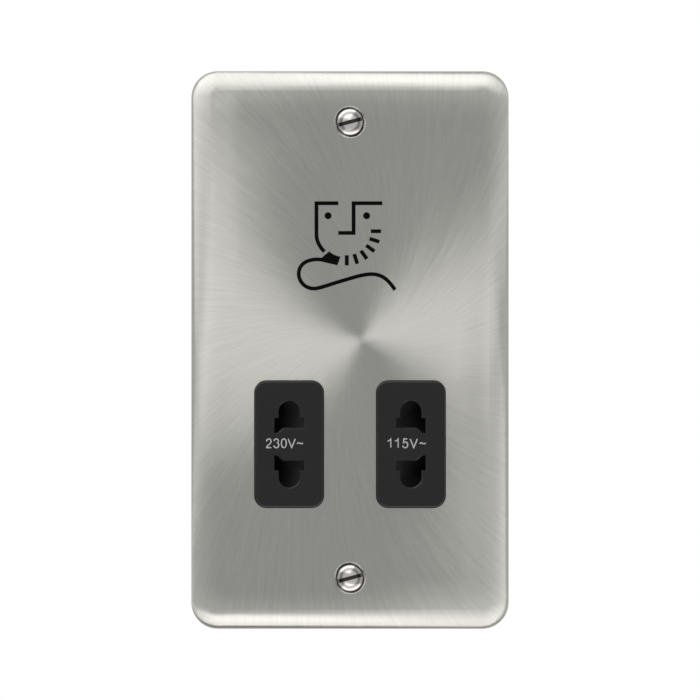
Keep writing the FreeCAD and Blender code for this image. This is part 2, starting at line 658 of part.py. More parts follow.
def build_front_moulding():
    """Black moulding: flange behind the plate, two raised blocks, shutter track and ribs."""
    body = new_body("front_moulding")
    dimple = f"{SINK_MOUTH} / 2 + plate_sheet * (sqrt(2) - 1)"
    flange = sketch_on(body, "XZ", "flange", SHEET_BACK)
    rounded_rectangle(flange, f"-{FLANGE_HALF_X}", FLANGE_HALF_X, f"-{FLANGE_HALF_Z}",
                      FLANGE_HALF_Z, "flange_corner")
    for level in LEVELS.values():
        circle(flange, "0", f"{level} * {FIXING_Z}", f"2 * ({dimple} + dimple_gap)")
        for side in SIDES.values():
            circle(flange, f"{side} * {POST_X}", f"{level} * {POST_Z}", BUSH_HOLE)
    circle(flange, "earth_place", EARTH_Z, "earth_thread + 2 * earth_hole_gap")
    pad(body, flange, "flange_sheet")

    block = sketch_on(body, "XZ", "block", BLOCK_FRONT)
    half_width = "(window_width / 2 - window_gap)"
    half_height = "(window_height / 2 - window_gap)"
    rounded_rectangle(block, f"{OUTLET_X} - {half_width}", f"{OUTLET_X} + {half_width}",
                      f"{OUTLET_Z} - {half_height}", f"{OUTLET_Z} + {half_height}",
                      "window_corner - window_gap")
    right_block = pad(body, block, f"{SHEET_BACK} - {BLOCK_FRONT}")
    mirror(body, [right_block], "YZ")
    dress(body, "Fillet", "block_edge", lambda e: lies_at(e, "Y", BLOCK_FRONT))
    apertures = sketch_on(body, "XZ", "pin_apertures", BLOCK_FRONT)
    for side in SIDES.values():
        for level in LEVELS.values():
            pin_aperture(apertures, side, level)
    cut(body, apertures, f"{FLANGE_BACK} - {BLOCK_FRONT}")
    dress(body, "Chamfer", "lead_in", lambda e: lies_at(e, "Y", BLOCK_FRONT) and at_aperture(e))

    lip = sketch_on(body, "XZ", "lip", FLANGE_BACK)
    for side in SIDES.values():
        outer = f"{side} * ({CASE_INSIDE_X} - case_gap)"
        inner = f"{side} * ({CASE_INSIDE_X} - case_gap - lip_sheet)"
        half_length = f"({POST_Z} - {POST} / 2 - lip_post_gap)"
        rectangle(lip, inner, outer, f"-{half_length}", half_length)
    for level in LEVELS.values():
        outer = f"{level} * ({CASE_INSIDE_Z} - case_gap)"
        inner = f"{level} * ({CASE_INSIDE_Z} - case_gap - lip_sheet)"
        half_length = f"({POST_X} - {POST} / 2 - lip_post_gap)"
        rectangle(lip, f"-{half_length}", half_length, inner, outer)
    pad(body, lip, "lip_depth")

    track = sketch_on(body, "XZ", "track", FLANGE_BACK)
    for half_width, half_height in ((TRACK_HALF_X, TRACK_HALF_Z),
                                    (CARRIER_HALF_X, CARRIER_HALF_Z)):
        rectangle(track, f"-{half_width}", half_width,
                  f"{OUTLET_Z} - {half_height}", f"{OUTLET_Z} + {half_height}")
    pad(body, track, f"{CARRIER_FRONT} - {FLANGE_BACK}")
    bosses = sketch_on(body, "XZ", "carrier_bosses", FLANGE_BACK)
    for level in LEVELS.values():
        circle(bosses, "0", f"{OUTLET_Z} + {level} * {CARRIER_BOSS_Z}", CARRIER_BOSS)
    pad(body, bosses, f"{CARRIER_FRONT} - {FLANGE_BACK}")
    depth = "(carrier_screw_length - carrier_ear + boss_hole_spare)"
    holes = sketch_on(body, "XZ", "carrier_screw_holes", f"{CARRIER_FRONT} - {depth}")
    for level in LEVELS.values():
        circle(holes, "0", f"{OUTLET_Z} + {level} * {CARRIER_BOSS_Z}", "carrier_thread")
    cut(body, holes, depth)
    for name, place_x in (("left", f"-{TRACK_HALF_X}"),
                          ("right", f"{TRACK_HALF_X} - spring_spigot_length")):
        spigot = sketch_on(body, "YZ", f"spigot_{name}", place_x)
        circle(spigot, SPRING_MIDDLE, OUTLET_Z, "spring_spigot")
        pad(body, spigot, "spring_spigot_length")

    ribs = sketch_on(body, "XZ", "core_ribs", FLANGE_BACK)
    for side in SIDES.values():
        middle = f"{side} * ({CORE_HALF_X} - core_rib_inset)"
        rectangle(ribs, f"{middle} - core_rib / 2", f"{middle} + core_rib / 2",
                  f"{CORE_LOW} + core_rib_end", f"{CORE_TOP} - core_rib_end")
    pad(body, ribs, f"{CORE_FRONT} - {FLANGE_BACK}")


def at_aperture(edge):
    """True if the edge's middle lies within the outer size of a pin aperture."""
    middle = edge.BoundBox.Center
    across = abs(abs(middle.x) - value(OUTLET_X))
    up = abs(middle.z - value(OUTLET_Z))
    return across <= value("blade_slot_width / 2") + 1e-4 and up <= value("pin_slot_reach") + 1e-4


def build_shutter():
    """One sliding wedge behind both outlets: pins in either push it across the other."""
    body = new_body("shutter_slider")
    place(body, z=OUTLET_Z)
    wedge = sketch_on(body, "XY", "wedge", f"-{SHUTTER_HALF_Z}")
    half = [(SHUTTER_FRONT_HALF, SHUTTER_FRONT),
            (SHUTTER_BACK_HALF, f"{SHUTTER_BACK} - shutter_land"),
            (SHUTTER_BACK_HALF, SHUTTER_BACK)]
    outline(wedge, half + [(f"-{x}", y) for x, y in reversed(half)])
    pad(body, wedge, f"2 * {SHUTTER_HALF_Z}")
    hollow = sketch_on(body, "XY", "hollow", "shutter_spine / 2")
    half = [(f"({SHUTTER_FRONT_HALF} - shutter_wall)", f"{SHUTTER_FRONT} + shutter_wall"),
            (f"({SHUTTER_BACK_HALF} - shutter_flank)", SHUTTER_BACK)]
    outline(hollow, half + [(f"-{x}", y) for x, y in reversed(half)])
    cavity = cut(body, hollow, f"{SHUTTER_HALF_Z} - shutter_spine / 2 - shutter_wall", True)
    mirror(body, [cavity], "XY")
    bore = sketch_on(body, "YZ", "bore", "spring_web / 2")
    circle(bore, SPRING_MIDDLE, "0", "spring_bore")
    right_bore = cut(body, bore, f"{SHUTTER_BACK_HALF}", True)
    mirror(body, [right_bore], "YZ")


def build_spring(name, side):
    """Coil spring of square wire from the shutter's middle web to one end of the track."""
    body = new_body(f"shutter_spring_{name}")
    place(body, f"{side} * spring_web / 2", SPRING_MIDDLE, OUTLET_Z)
    if side < 0:
        turn(body, (0, 0, 1), 180)
    wire = sketch_on(body, "XZ", "wire", "0")
    rectangle(wire, "0", "spring_wire", "spring_diameter / 2 - spring_wire", "spring_diameter / 2")
    coil = body.newObject("PartDesign::AdditiveHelix", "coil")
    coil.Profile = wire
    coil.ReferenceAxis = (wire, ["H_Axis"])
    coil.Mode = "height-turns-angle"
    bind(coil, "Height", f"{TRACK_HALF_X} - spring_web / 2 - spring_wire")
    bind(coil, "Turns", "spring_turns")
    finish(body, coil)


def build_carrier():
    """Moulded block that closes the shutter track and holds the four contacts."""
    body = new_body("contact_carrier")
    place(body, z=OUTLET_Z)
    block = sketch_on(body, "XZ", "block", CARRIER_FRONT)
    rectangle(block, f"-{CARRIER_HALF_X}", CARRIER_HALF_X, f"-{CARRIER_HALF_Z}", CARRIER_HALF_Z)
    pad(body, block, "carrier_depth")
    ears = sketch_on(body, "XZ", "ears", CARRIER_FRONT)
    holes = sketch_on(body, "XZ", "ear_holes", CARRIER_FRONT)
    for level in LEVELS.values():
        rectangle(ears, "-carrier_ear_width / 2", "carrier_ear_width / 2",
                  f"{level} * {CARRIER_HALF_Z}",
                  f"{level} * ({CARRIER_BOSS_Z} + {CARRIER_BOSS} / 2)")
        circle(holes, "0", f"{level} * {CARRIER_BOSS_Z}", "carrier_thread + 2 * carrier_hole_gap")
    pad(body, ears, "carrier_ear")
    cut(body, holes, "carrier_ear")
    screw_room = sketch_on(body, "XZ", "screw_room", f"{CARRIER_FRONT} + carrier_ear")
    for level in LEVELS.values():
        circle(screw_room, "0", f"{level} * {CARRIER_BOSS_Z}",
               "carrier_screw_head + 2 * carrier_head_gap")
    cut(body, screw_room, "carrier_depth - carrier_ear")
    cavities = sketch_on(body, "XZ", "cavities", CARRIER_FRONT)
    slits = sketch_on(body, "XZ", "tail_slits", CAVITY_BACK)
    for side in SIDES.values():
        for level in LEVELS.values():
            rectangle(cavities, f"{side} * {OUTLET_X} - contact_span / 2 - cavity_gap",
                      f"{side} * {OUTLET_X} + contact_span / 2 + cavity_gap",
                      f"{level} * ({CONTACT_LOW} - cavity_gap)",
                      f"{level} * ({CONTACT_LOW} + {CONTACT_HEIGHT} + cavity_gap)")
            rectangle(slits, f"{side} * {OUTLET_X} - tail_width / 2 - tail_gap",
                      f"{side} * {OUTLET_X} + tail_width / 2 + tail_gap",
                      f"{level} * ({TAIL_Z} - contact_sheet / 2 - tail_gap)",
                      f"{level} * ({TAIL_Z} + contact_sheet / 2 + tail_gap)")
    cut(body, cavities, f"{CAVITY_BACK} - {CARRIER_FRONT}")
    cut(body, slits, "carrier_floor")
    cradle = sketch_on(body, "XZ", "cutout_cradle", f"{CARRIER_BACK} - cutout_sink")
    rectangle(cradle, "-cutout_width / 2 - cutout_gap", "cutout_width / 2 + cutout_gap",
              f"-{CUTOUT_HALF_Z} - cutout_gap", f"{CUTOUT_HALF_Z} + cutout_gap")
    cut(body, cradle, "cutout_sink")


def build_contact(side_name, side, level_name, level):
    """Sprung brass strip that grips one pin, with a tail through the carrier's floor."""
    body = new_body(f"contact_{side_name}_{level_name}")
    place(body, f"{side} * {OUTLET_X}", "0", OUTLET_Z)
    if level < 0:
        turn(body, (0, 1, 0), 180)
    strip = sketch_on(body, "XY", "strip", CONTACT_LOW)
    knee = f"{CAVITY_BACK} - contact_knee"
    pinch = f"{CAVITY_BACK} - contact_waist"
    mouth = f"{CAVITY_BACK} - contact_reach"
    half = [("(contact_span / 2)", CAVITY_BACK),
            ("(contact_span / 2)", knee),
            ("(contact_pinch / 2 + contact_sheet)", pinch),
            ("(contact_mouth / 2 + contact_sheet)", mouth),
            ("(contact_mouth / 2)", mouth),
            ("(contact_pinch / 2)", pinch),
            ("(contact_span / 2 - contact_sheet)", knee),
            ("(contact_span / 2 - contact_sheet)", f"{CAVITY_BACK} - contact_sheet")]
    outline(strip, half + [(f"-{x}", y) for x, y in reversed(half)])
    pad(body, strip, CONTACT_HEIGHT)
    tail = sketch_on(body, "XZ", "tail", CAVITY_BACK)
    rectangle(tail, "-tail_width / 2", "tail_width / 2",
              f"{TAIL_Z} - contact_sheet / 2", f"{TAIL_Z} + contact_sheet / 2")
    pad(body, tail, "tail_length")


def build_link():
    """Brass strip that joins the two upper contacts behind the carrier."""
    body = new_body("common_link")
    place(body, z=OUTLET_Z)
    strip = sketch_on(body, "XZ", "strip", CARRIER_BACK)
    half = f"({OUTLET_X} + tail_width / 2 + link_overhang)"
    rectangle(strip, f"-{half}", half, f"{TAIL_Z} - link_width / 2", f"{TAIL_Z} + link_width / 2")
    for side in SIDES.values():
        rectangle(strip, f"{side} * {OUTLET_X} - tail_width / 2",
                  f"{side} * {OUTLET_X} + tail_width / 2",
                  f"{TAIL_Z} - contact_sheet / 2", f"{TAIL_Z} + contact_sheet / 2")
    pad(body, strip, "link_sheet")


def build_rear_case():
    """Black case: deep over the transformer, shallower over the contacts and terminals."""
    body = new_body("rear_case")
    shallow = sketch_on(body, "XZ", "shallow", FLANGE_BACK)
    rounded_rectangle(shallow, f"-{CASE_HALF_X}", CASE_HALF_X, f"-{CASE_HALF_Z}", CASE_HALF_Z,
                      "case_corner")
    pad(body, shallow, f"{STEP_BACK} - {FLANGE_BACK}")
    dress(body, "Fillet", "case_edge", lambda e: lies_at(e, "Y", STEP_BACK))
    deep = sketch_on(body, "XZ", "deep", FLANGE_BACK)
    rounded_rectangle(deep, f"-{CASE_HALF_X}", CASE_HALF_X, STEP_Z, CASE_HALF_Z, "case_corner")
    pad(body, deep, f"{DEEP_BACK} - {FLANGE_BACK}")
    dress(body, "Fillet", "case_edge", lambda e: lies_at(e, "Y", DEEP_BACK))
    room = sketch_on(body, "XZ", "room", FLANGE_BACK)
    rounded_rectangle(room, f"-{CASE_INSIDE_X}", CASE_INSIDE_X, f"-{CASE_INSIDE_Z}",
                      CASE_INSIDE_Z, "case_corner - case_wall")
    cut(body, room, f"{STEP_INSIDE} - {FLANGE_BACK}")
    deep_room = sketch_on(body, "XZ", "deep_room", STEP_INSIDE)
    rounded_rectangle(deep_room, f"-{CASE_INSIDE_X}", CASE_INSIDE_X, f"{STEP_Z} + case_wall",
                      CASE_INSIDE_Z, "case_corner - case_wall")
    cut(body, deep_room, f"{DEEP_INSIDE} - {STEP_INSIDE}")

    for name, level in LEVELS.items():
        inside, back = {"upper": (DEEP_INSIDE, DEEP_BACK), "lower": (STEP_INSIDE, STEP_BACK)}[name]
        posts = sketch_on(body, "XZ", f"{name}_posts", FLANGE_BACK)
        sockets = sketch_on(body, "XZ", f"{name}_sockets", FLANGE_BACK)
        holes = sketch_on(body, "XZ", f"{name}_holes", POST_SOCKET_END)
        wells = sketch_on(body, "XZ", f"{name}_wells", POST_SEAT)
        for side in SIDES.values():
            spot = (f"{side} * {POST_X}", f"{level} * {POST_Z}")
            circle(posts, *spot, POST)
            circle(sockets, *spot, BUSH_HOLE)
            circle(holes, *spot, "case_thread + 2 * post_hole_gap")
            circle(wells, *spot, POST_WELL)
        pad(body, posts, f"{inside} - {FLANGE_BACK}")
        cut(body, sockets, "post_socket")
        cut(body, holes, "post_floor")
        cut(body, wells, f"{back} - {POST_SEAT}")

    core_ribs = sketch_on(body, "XZ", "core_ribs", CORE_BACK)
    for side in SIDES.values():
        middle = f"{side} * ({CORE_HALF_X} - core_rib_inset)"
        rectangle(core_ribs, f"{middle} - core_rib / 2", f"{middle} + core_rib / 2",
                  f"{CORE_LOW} + core_rib_end", f"{CORE_TOP} - core_rib_end")
    pad(body, core_ribs, f"{DEEP_INSIDE} - {CORE_BACK}")
    side_ribs = sketch_on(body, "XZ", "core_side_ribs", "core_side_start")
    for side in SIDES.values():
        for middle in (f"{CORE_LOW} + {CORE_YOKE} / 2", f"{CORE_TOP} - {CORE_YOKE} / 2"):
            rectangle(side_ribs, f"{side} * ({CORE_HALF_X} + core_side_gap)",
                      f"{side} * {CASE_INSIDE_X}",
                      f"{middle} - core_side_rib / 2", f"{middle} + core_side_rib / 2")
    pad(body, side_ribs, f"{DEEP_INSIDE} - core_side_start")

    terminal_block(body)
    vents(body)


def vents(body):
    """Slots behind the two windings and at their sides."""
    pitch = f"(2 * {CORE_HALF_X} - {CORE_LEG}) / vent_count"
    back_vents = sketch_on(body, "XZ", "back_vents", DEEP_INSIDE)
    for number in range(int(value("vent_count"))):
        slot(back_vents, f"({number} - (vent_count - 1) / 2) * {pitch}",
             f"{WINDOW_LOW} + vent_end", f"{WINDOW_TOP} - vent_end", "vent_width")
    cut(body, back_vents, "case_wall")
    side_pitch = f"({WINDOW_TOP} - {WINDOW_LOW}) / (side_vent_count + 1)"
    side_vents = sketch_on(body, "YZ", "side_vents", CASE_HALF_X)
    for number in range(int(value("side_vent_count"))):
        level = f"({WINDOW_LOW} + ({number} + 1) * {side_pitch})"
        rectangle(side_vents, f"{CORE_FRONT} + vent_end", f"{CORE_BACK} - vent_end",
                  f"{level} - side_vent_width / 2", f"{level} + side_vent_width / 2")
    right_vents = cut(body, side_vents, "case_wall")
    mirror(body, [right_vents], "YZ")


def terminal_block(body):
    """Pockets for three pillars, with wire entries below and screw access behind."""
    block = sketch_on(body, "XZ", "terminal_block", f"{STEP_INSIDE} - block_depth")
    rectangle(block, f"{BLOCK_X} - {BLOCK_HALF_X}", f"{BLOCK_X} + {BLOCK_HALF_X}",
              f"-{CASE_INSIDE_Z}", PILLAR_TOP)
    pad(body, block, "block_depth")
    pockets = sketch_on(body, "XZ", "pillar_pockets", f"{STEP_INSIDE} - block_depth")
    access = sketch_on(body, "XZ", "clamp_access", PILLAR_BACK)
    entries = sketch_on(body, "XY", "wire_entries", PILLAR_LOW)
    for number in TERMINALS.values():
        middle = f"({BLOCK_X} + {number} * {TERMINAL_PITCH})"
        rectangle(pockets, f"{middle} - pillar_width / 2 - pillar_gap",
                  f"{middle} + pillar_width / 2 + pillar_gap", PILLAR_LOW,
                  f"{PILLAR_TOP} + block_wall")
        circle(access, middle, CLAMP_Z, "clamp_head + 2 * clamp_access_gap")
        circle(entries, middle, BORE_MIDDLE, WIRE_ENTRY)
    cut(body, pockets, "block_depth - block_wall")
    cut(body, access, f"{STEP_BACK} - {PILLAR_BACK}")
    cut(body, entries, "case_wall + block_wall")
    rim = math.pi * value(WIRE_ENTRY)
    dress(body, "Chamfer", "wire_funnel",
          lambda e: lies_at(e, "Z", f"-{CASE_HALF_Z}") and abs(e.Length - rim) < 1e-3)


def build_bush(name, x_side, z_side):
    """Blind threaded bush on the back of the plate."""
    body = new_body(name)
    place(body, f"{x_side} * {POST_X}", SHEET_BACK, f"{z_side} * {POST_Z}")
    barrel = sketch_on(body, "XZ", "barrel", "0")
    circle(barrel, "0", "0", BUSH)
    length = f"({POST_SOCKET_END} - bush_gap - {SHEET_BACK})"
    pad(body, barrel, length)
    bore = sketch_on(body, "XZ", "bore", "bush_blind")
    circle(bore, "0", "0", "case_thread")
    cut(body, bore, f"{length} - bush_blind")


def build_small_screw(label, sizes, x, y, z):
    """Slotted cheese-head screw driven from behind. Its head's underside is at its origin."""
    thread, length, head, head_height = sizes
    body = new_body(label)
    place(body, x, y, z)
    cap = sketch_on(body, "XZ", "head", "0")
    circle(cap, "0", "0", head)
    pad(body, cap, head_height)
    dress(body, "Chamfer", "screw_end", lambda e: lies_at(e, "Y", head_height))
    driver = sketch_on(body, "XZ", "driver_slot", f"{head_height} - driver_slot_depth")
    rectangle(driver, f"-{head}", head, "-driver_slot / 2", "driver_slot / 2")
    cut(body, driver, "driver_slot_depth")
    shank = sketch_on(body, "XZ", "shank", f"-({length})")
    circle(shank, "0", "0", thread)
    pad(body, shank, length)


def build_fixing_screw(name, level):
    """Raised countersunk slotted screw. Its origin is on the plate's front face."""
    body = new_body(f"fixing_screw_{name}")
    place(body, "0", PLATE_FRONT, f"{level} * {FIXING_Z}")
    turn(body, (0, -1, 0), value("fixing_slot_turn_degrees"))
    bind(body, "Placement.Rotation.Angle", "fixing_slot_turn_degrees")
    seat = "sink_gap"
    shoulder = f"({seat} - fixing_head_rim)"
    apex = f"({shoulder} - fixing_head_dome)"
    dome_radius = "((fixing_head ^ 2 / 4 + fixing_head_dome ^ 2) / (2 * fixing_head_dome))"
    end = f"({seat} + fixing_length)"
    section = sketch_on(body, "YZ", "section", "0")
    outline(section, [(apex, "0"), (shoulder, "fixing_head / 2"), (seat, "fixing_head / 2"),
                      (f"{seat} + (fixing_head - fixing_thread) / 2", "fixing_thread / 2"),
                      (f"{end} - screw_end", "fixing_thread / 2"),
                      (end, "fixing_thread / 2 - screw_end"), (end, "0")],
            {0: (f"{apex} + {dome_radius}", "0", "y", False)})
    revolve(body, section, "H_Axis")
    driver = sketch_on(body, "XZ", "driver_slot", apex)
    rectangle(driver, "-fixing_head", "fixing_head",
              "-fixing_slot_width / 2", "fixing_slot_width / 2")
    cut(body, driver, "fixing_slot_depth")


def build_core():
    """Stack of laminations with two windows around the bobbin."""
    body = new_body("transformer_core")
    stack = sketch_on(body, "XZ", "lamination", CORE_FRONT)
    rectangle(stack, f"-{CORE_HALF_X}", CORE_HALF_X, CORE_LOW, CORE_TOP)
    for side in SIDES.values():
        rectangle(stack, f"{side} * {CORE_LEG} / 2", f"{side} * ({CORE_HALF_X} - {CORE_LEG} / 2)",
                  WINDOW_LOW, WINDOW_TOP)
        for level in (f"{CORE_LOW} + {CORE_YOKE} / 2", f"{CORE_TOP} - {CORE_YOKE} / 2"):
            circle(stack, f"{side} * ({CORE_HALF_X} - {CORE_LEG} / 4)", level, "core_hole")
    pad(body, stack, "core_stack")


# Half sizes of the bobbin, its rails and its opening, about its own middle
BOBBIN_X = f"({CORE_HALF_X} - {CORE_LEG} / 2 - bobbin_gap)"
BOBBIN_Y = f"({BOBBIN_DEPTH} / 2)"
BOBBIN_Z = f"(({WINDOW_TOP} - {WINDOW_LOW}) / 2 - bobbin_gap)"
LEG_X = f"({CORE_LEG} / 2 + bobbin_gap)"
LEG_Y = "(core_stack / 2 + bobbin_gap)"
RAIL_X = f"({BOBBIN_X} - tag_rail_inset)"
RAIL_DEPTH = "(bobbin_reach - tag_rail_gap)"
TAG_PITCH = f"(2 * ({RAIL_X} - tag_end) / (secondary_tag_count - 1))"


def build_bobbin():
    """Spool with three flanges and a rail for tags above and below."""
    body = new_body("bobbin")
    place(body, "0", CORE_MIDDLE, f"({WINDOW_LOW} + {WINDOW_TOP}) / 2")
    tube = sketch_on(body, "XY", "tube", f"-{BOBBIN_Z}")
    rectangle(tube, f"-{LEG_X} - bobbin_sheet", f"{LEG_X} + bobbin_sheet",
              f"-{LEG_Y} - bobbin_sheet", f"{LEG_Y} + bobbin_sheet")
    pad(body, tube, f"2 * {BOBBIN_Z}")
    for name, low in (("lower", f"-{BOBBIN_Z}"), ("middle", "-bobbin_sheet / 2"),
                      ("upper", f"{BOBBIN_Z} - bobbin_sheet")):
        flange = sketch_on(body, "XY", f"{name}_flange", low)
        rounded_rectangle(flange, f"-{BOBBIN_X}", BOBBIN_X, f"-{BOBBIN_Y}", BOBBIN_Y,
                          "bobbin_corner")
        pad(body, flange, "bobbin_sheet")
    for name, level in (("upper", BOBBIN_Z), ("lower", f"-{BOBBIN_Z} - tag_rail_height")):
        rail = sketch_on(body, "XY", f"{name}_rail", level)
        rectangle(rail, f"-{RAIL_X}", RAIL_X, f"{BOBBIN_Y} - {RAIL_DEPTH}", BOBBIN_Y)
        pad(body, rail, "tag_rail_height")
    for name, count, level, upwards in (
            ("upper", "secondary_tag_count", f"{BOBBIN_Z} + tag_rail_height - tag_root", True),
            ("lower", "primary_tag_count", f"-{BOBBIN_Z} - tag_rail_height + tag_root", False)):
        holes = sketch_on(body, "XY", f"{name}_tag_holes", level)
        for number in range(int(value(count))):
            tag_outline(holes, f"({number} - ({count} - 1) / 2) * {TAG_PITCH}",
                        f"{BOBBIN_Y} - {RAIL_DEPTH} / 2")
        cut(body, holes, "tag_root", upwards)
    leg = sketch_on(body, "XY", "leg_opening", f"{BOBBIN_Z}")
    rectangle(leg, f"-{LEG_X}", LEG_X, f"-{LEG_Y}", LEG_Y)
    cut(body, leg, f"2 * {BOBBIN_Z}")


def tag_outline(sketch, x, y):
    """The square section of one solder tag."""
    rectangle(sketch, f"{x} - tag_width / 2", f"{x} + tag_width / 2",
              f"{y} - tag_width / 2", f"{y} + tag_width / 2")


def build_winding(label, low):
    """Coil of wire under tape between two flanges of the bobbin."""
    body = new_body(label)
    place(body, "0", CORE_MIDDLE, f"({WINDOW_LOW} + {WINDOW_TOP}) / 2 + {low}")
    coil = sketch_on(body, "XY", "coil", "0")
    rounded_rectangle(coil, f"winding_inset - {BOBBIN_X}", f"{BOBBIN_X} - winding_inset",
                      f"winding_inset - {BOBBIN_Y}", f"{BOBBIN_Y} - winding_inset",
                      "winding_corner")
    rectangle(coil, f"-{LEG_X} - bobbin_sheet", f"{LEG_X} + bobbin_sheet",
              f"-{LEG_Y} - bobbin_sheet", f"{LEG_Y} + bobbin_sheet")
    pad(body, coil, f"{BOBBIN_Z} - bobbin_sheet * 1.5")


def build_tags(group, count, level, upwards):
    """A row of solder tags standing in one of the bobbin's rails."""
    for number in range(int(value(count))):
        body = new_body(f"{group}_tag_{number + 1}")
        place(body, f"({number} - ({count} - 1) / 2) * {TAG_PITCH}",
              f"{BOBBIN_BACK} - {RAIL_DEPTH} / 2", level)
        tag = sketch_on(body, "XY", "tag", "0" if upwards else "-tag_length")
        tag_outline(tag, "0", "0")
        pad(body, tag, "tag_length")


def build_cutout():
    """Thermal cut-out in its cradle behind the carrier, with a tab at each end."""
    body = new_body("thermal_cutout")
    place(body, "0", f"{CARRIER_BACK} - cutout_sink", OUTLET_Z)
    case = sketch_on(body, "XZ", "case", "0")
    rectangle(case, "-cutout_width / 2", "cutout_width / 2", f"-{CUTOUT_HALF_Z}", CUTOUT_HALF_Z)
    pad(body, case, "cutout_depth")
    dress(body, "Fillet", "cutout_edge", lambda e: lies_at(e, "Y", "cutout_depth"))
    tabs = sketch_on(body, "XZ", "tabs", "(cutout_sink + cutout_depth) / 2")
    for side in SIDES.values():
        rectangle(tabs, f"{side} * cutout_width / 2", f"{side} * (cutout_width / 2 + cutout_tab)",
                  "-cutout_tab_width / 2", "cutout_tab_width / 2")
    pad(body, tabs, "cutout_tab_sheet")


def build_terminal(name, number):
    """Brass pillar: the wire enters from below and the clamp screw from behind."""
    body = new_body(f"terminal_{name}")
    place(body, f"{BLOCK_X} + {number} * {TERMINAL_PITCH}", PILLAR_FRONT, PILLAR_LOW)
    height = f"({PILLAR_TOP} - {PILLAR_LOW})"
    pillar = sketch_on(body, "XY", "pillar", "0")
    rectangle(pillar, "-pillar_width / 2", "pillar_width / 2", "0", "pillar_depth")
    pad(body, pillar, height)
    dress(body, "Chamfer", "pillar_edge", lambda e: abs(e.Length - value(height)) < 1e-4)
    bore = sketch_on(body, "XY", "wire_bore", "0")
    bore_middle = "(wire_bore_floor + wire_bore / 2)"
    circle(bore, "0", bore_middle, "wire_bore")
    cut(body, bore, f"{height} - wire_bore_end", True)
    thread = sketch_on(body, "XZ", "clamp_hole", bore_middle)
    circle(thread, "0", "clamp_level", "clamp_thread")
    cut(body, thread, f"pillar_depth - {bore_middle}")


def build_earthing():
    """Threaded stud on the plate, a crimped ring tag over it and the nut that holds it."""
    stud = new_body("earth_stud")
    place(stud, "earth_place", SHEET_BACK, EARTH_Z)
    rod = sketch_on(stud, "XZ", "rod", "0")
    circle(rod, "0", "0", "earth_thread")
    pad(stud, rod, "earth_stud_length")
    dress(stud, "Chamfer", "screw_end", lambda e: lies_at(e, "Y", "earth_stud_length"))

    tag = new_body("earth_tag")
    place(tag, "earth_place", FLANGE_BACK, EARTH_Z)
    ring = sketch_on(tag, "XZ", "ring", "0")
    circle(ring, "0", "0", "earth_ring")
    pad(tag, ring, "earth_ring_sheet")
    barrel = sketch_on(tag, "YZ", "barrel", "earth_nut_flats / 2 + earth_gap")
    circle(barrel, "earth_barrel / 2", "0", "earth_barrel")
    pad(tag, barrel, "earth_barrel_length")
    hole = sketch_on(tag, "XZ", "hole", "0")
    circle(hole, "0", "0", "earth_thread + 2 * earth_gap")
    cut(tag, hole, "earth_ring_sheet")

    nut = new_body("earth_nut")
    place(nut, "earth_place", f"{FLANGE_BACK} + earth_ring_sheet", EARTH_Z)
    hexagon = sketch_on(nut, "XZ", "hexagon", "0")
    point, half_flat = "earth_nut_flats / sqrt(3)", "earth_nut_flats / 2"
    outline(hexagon, [(f"{half_flat}", f"{point} / 2"), ("0", point),
                      (f"-{half_flat}", f"{point} / 2"), (f"-{half_flat}", f"-{point} / 2"),
                      ("0", f"-{point}"), (f"{half_flat}", f"-{point} / 2")])
    circle(hexagon, "0", "0", "earth_thread")
    pad(nut, hexagon, "earth_nut_height")


def check_document():
    """Stops if any object of the document could not be worked out."""
    doc.recompute()
    for thing in doc.Objects:
        if {"Invalid", "Error"} & set(thing.State):
            raise RuntimeError(f"{thing.Label} failed: {thing.State}")


def write_parts():
    """Checks every sub-part and writes it to its own file."""
    check_document()
    parts = [o for o in doc.Objects if o.TypeId == "PartDesign::Body"]
    for part in parts:
        shape = part.Shape
        if shape.isNull() or not shape.isValid() or not shape.Solids:
            raise RuntimeError(f"{part.Label} is not a sound solid")
    os.makedirs("parts", exist_ok=True)
    for part in parts:
        part.Shape.exportStep(f"parts/{part.Label}.step")
        box = part.Shape.BoundBox
        print(f"{part.Label}: {len(part.Shape.Solids)} solid, {part.Shape.Volume:.1f} mm3, "
              f"x {box.XMin:.2f} {box.XMax:.2f}, y {box.YMin:.2f} {box.YMax:.2f}, "
              f"z {box.ZMin:.2f} {box.ZMax:.2f}")


build_faceplate()
build_front_moulding()
build_shutter()
for side_name, side_sign in SIDES.items():
    build_spring(side_name, side_sign)
build_carrier()
for level_name, level_sign in LEVELS.items():
    build_small_screw(f"carrier_screw_{level_name}",
                      ("carrier_thread", "carrier_screw_length", "carrier_screw_head",
                       "carrier_screw_head_height"),
                      "0", f"{CARRIER_FRONT} + carrier_ear",
                      f"{OUTLET_Z} + {level_sign} * {CARRIER_BOSS_Z}")
    build_fixing_screw(level_name, level_sign)
    for side_name, side_sign in SIDES.items():
        build_contact(side_name, side_sign, level_name, level_sign)
        build_bush(f"plate_bush_{level_name}_{side_name}", side_sign, level_sign)
        build_small_screw(f"case_screw_{level_name}_{side_name}",
                          ("case_thread",
                           f"{POST_SEAT} - {SHEET_BACK} - bush_blind - case_screw_tip_gap",
                           "case_screw_head", "case_screw_head_height"),
                          f"{side_sign} * {POST_X}", POST_SEAT, f"{level_sign} * {POST_Z}")
build_link()
build_rear_case()
build_core()
build_bobbin()
build_winding("primary_winding", f"(bobbin_sheet - {BOBBIN_Z})")
build_winding("secondary_winding", "bobbin_sheet / 2")
build_tags("secondary", "secondary_tag_count",
           f"{WINDOW_TOP} - bobbin_gap + tag_rail_height - tag_root", True)
build_tags("primary", "primary_tag_count",
           f"{WINDOW_LOW} + bobbin_gap - tag_rail_height + tag_root", False)
build_cutout()
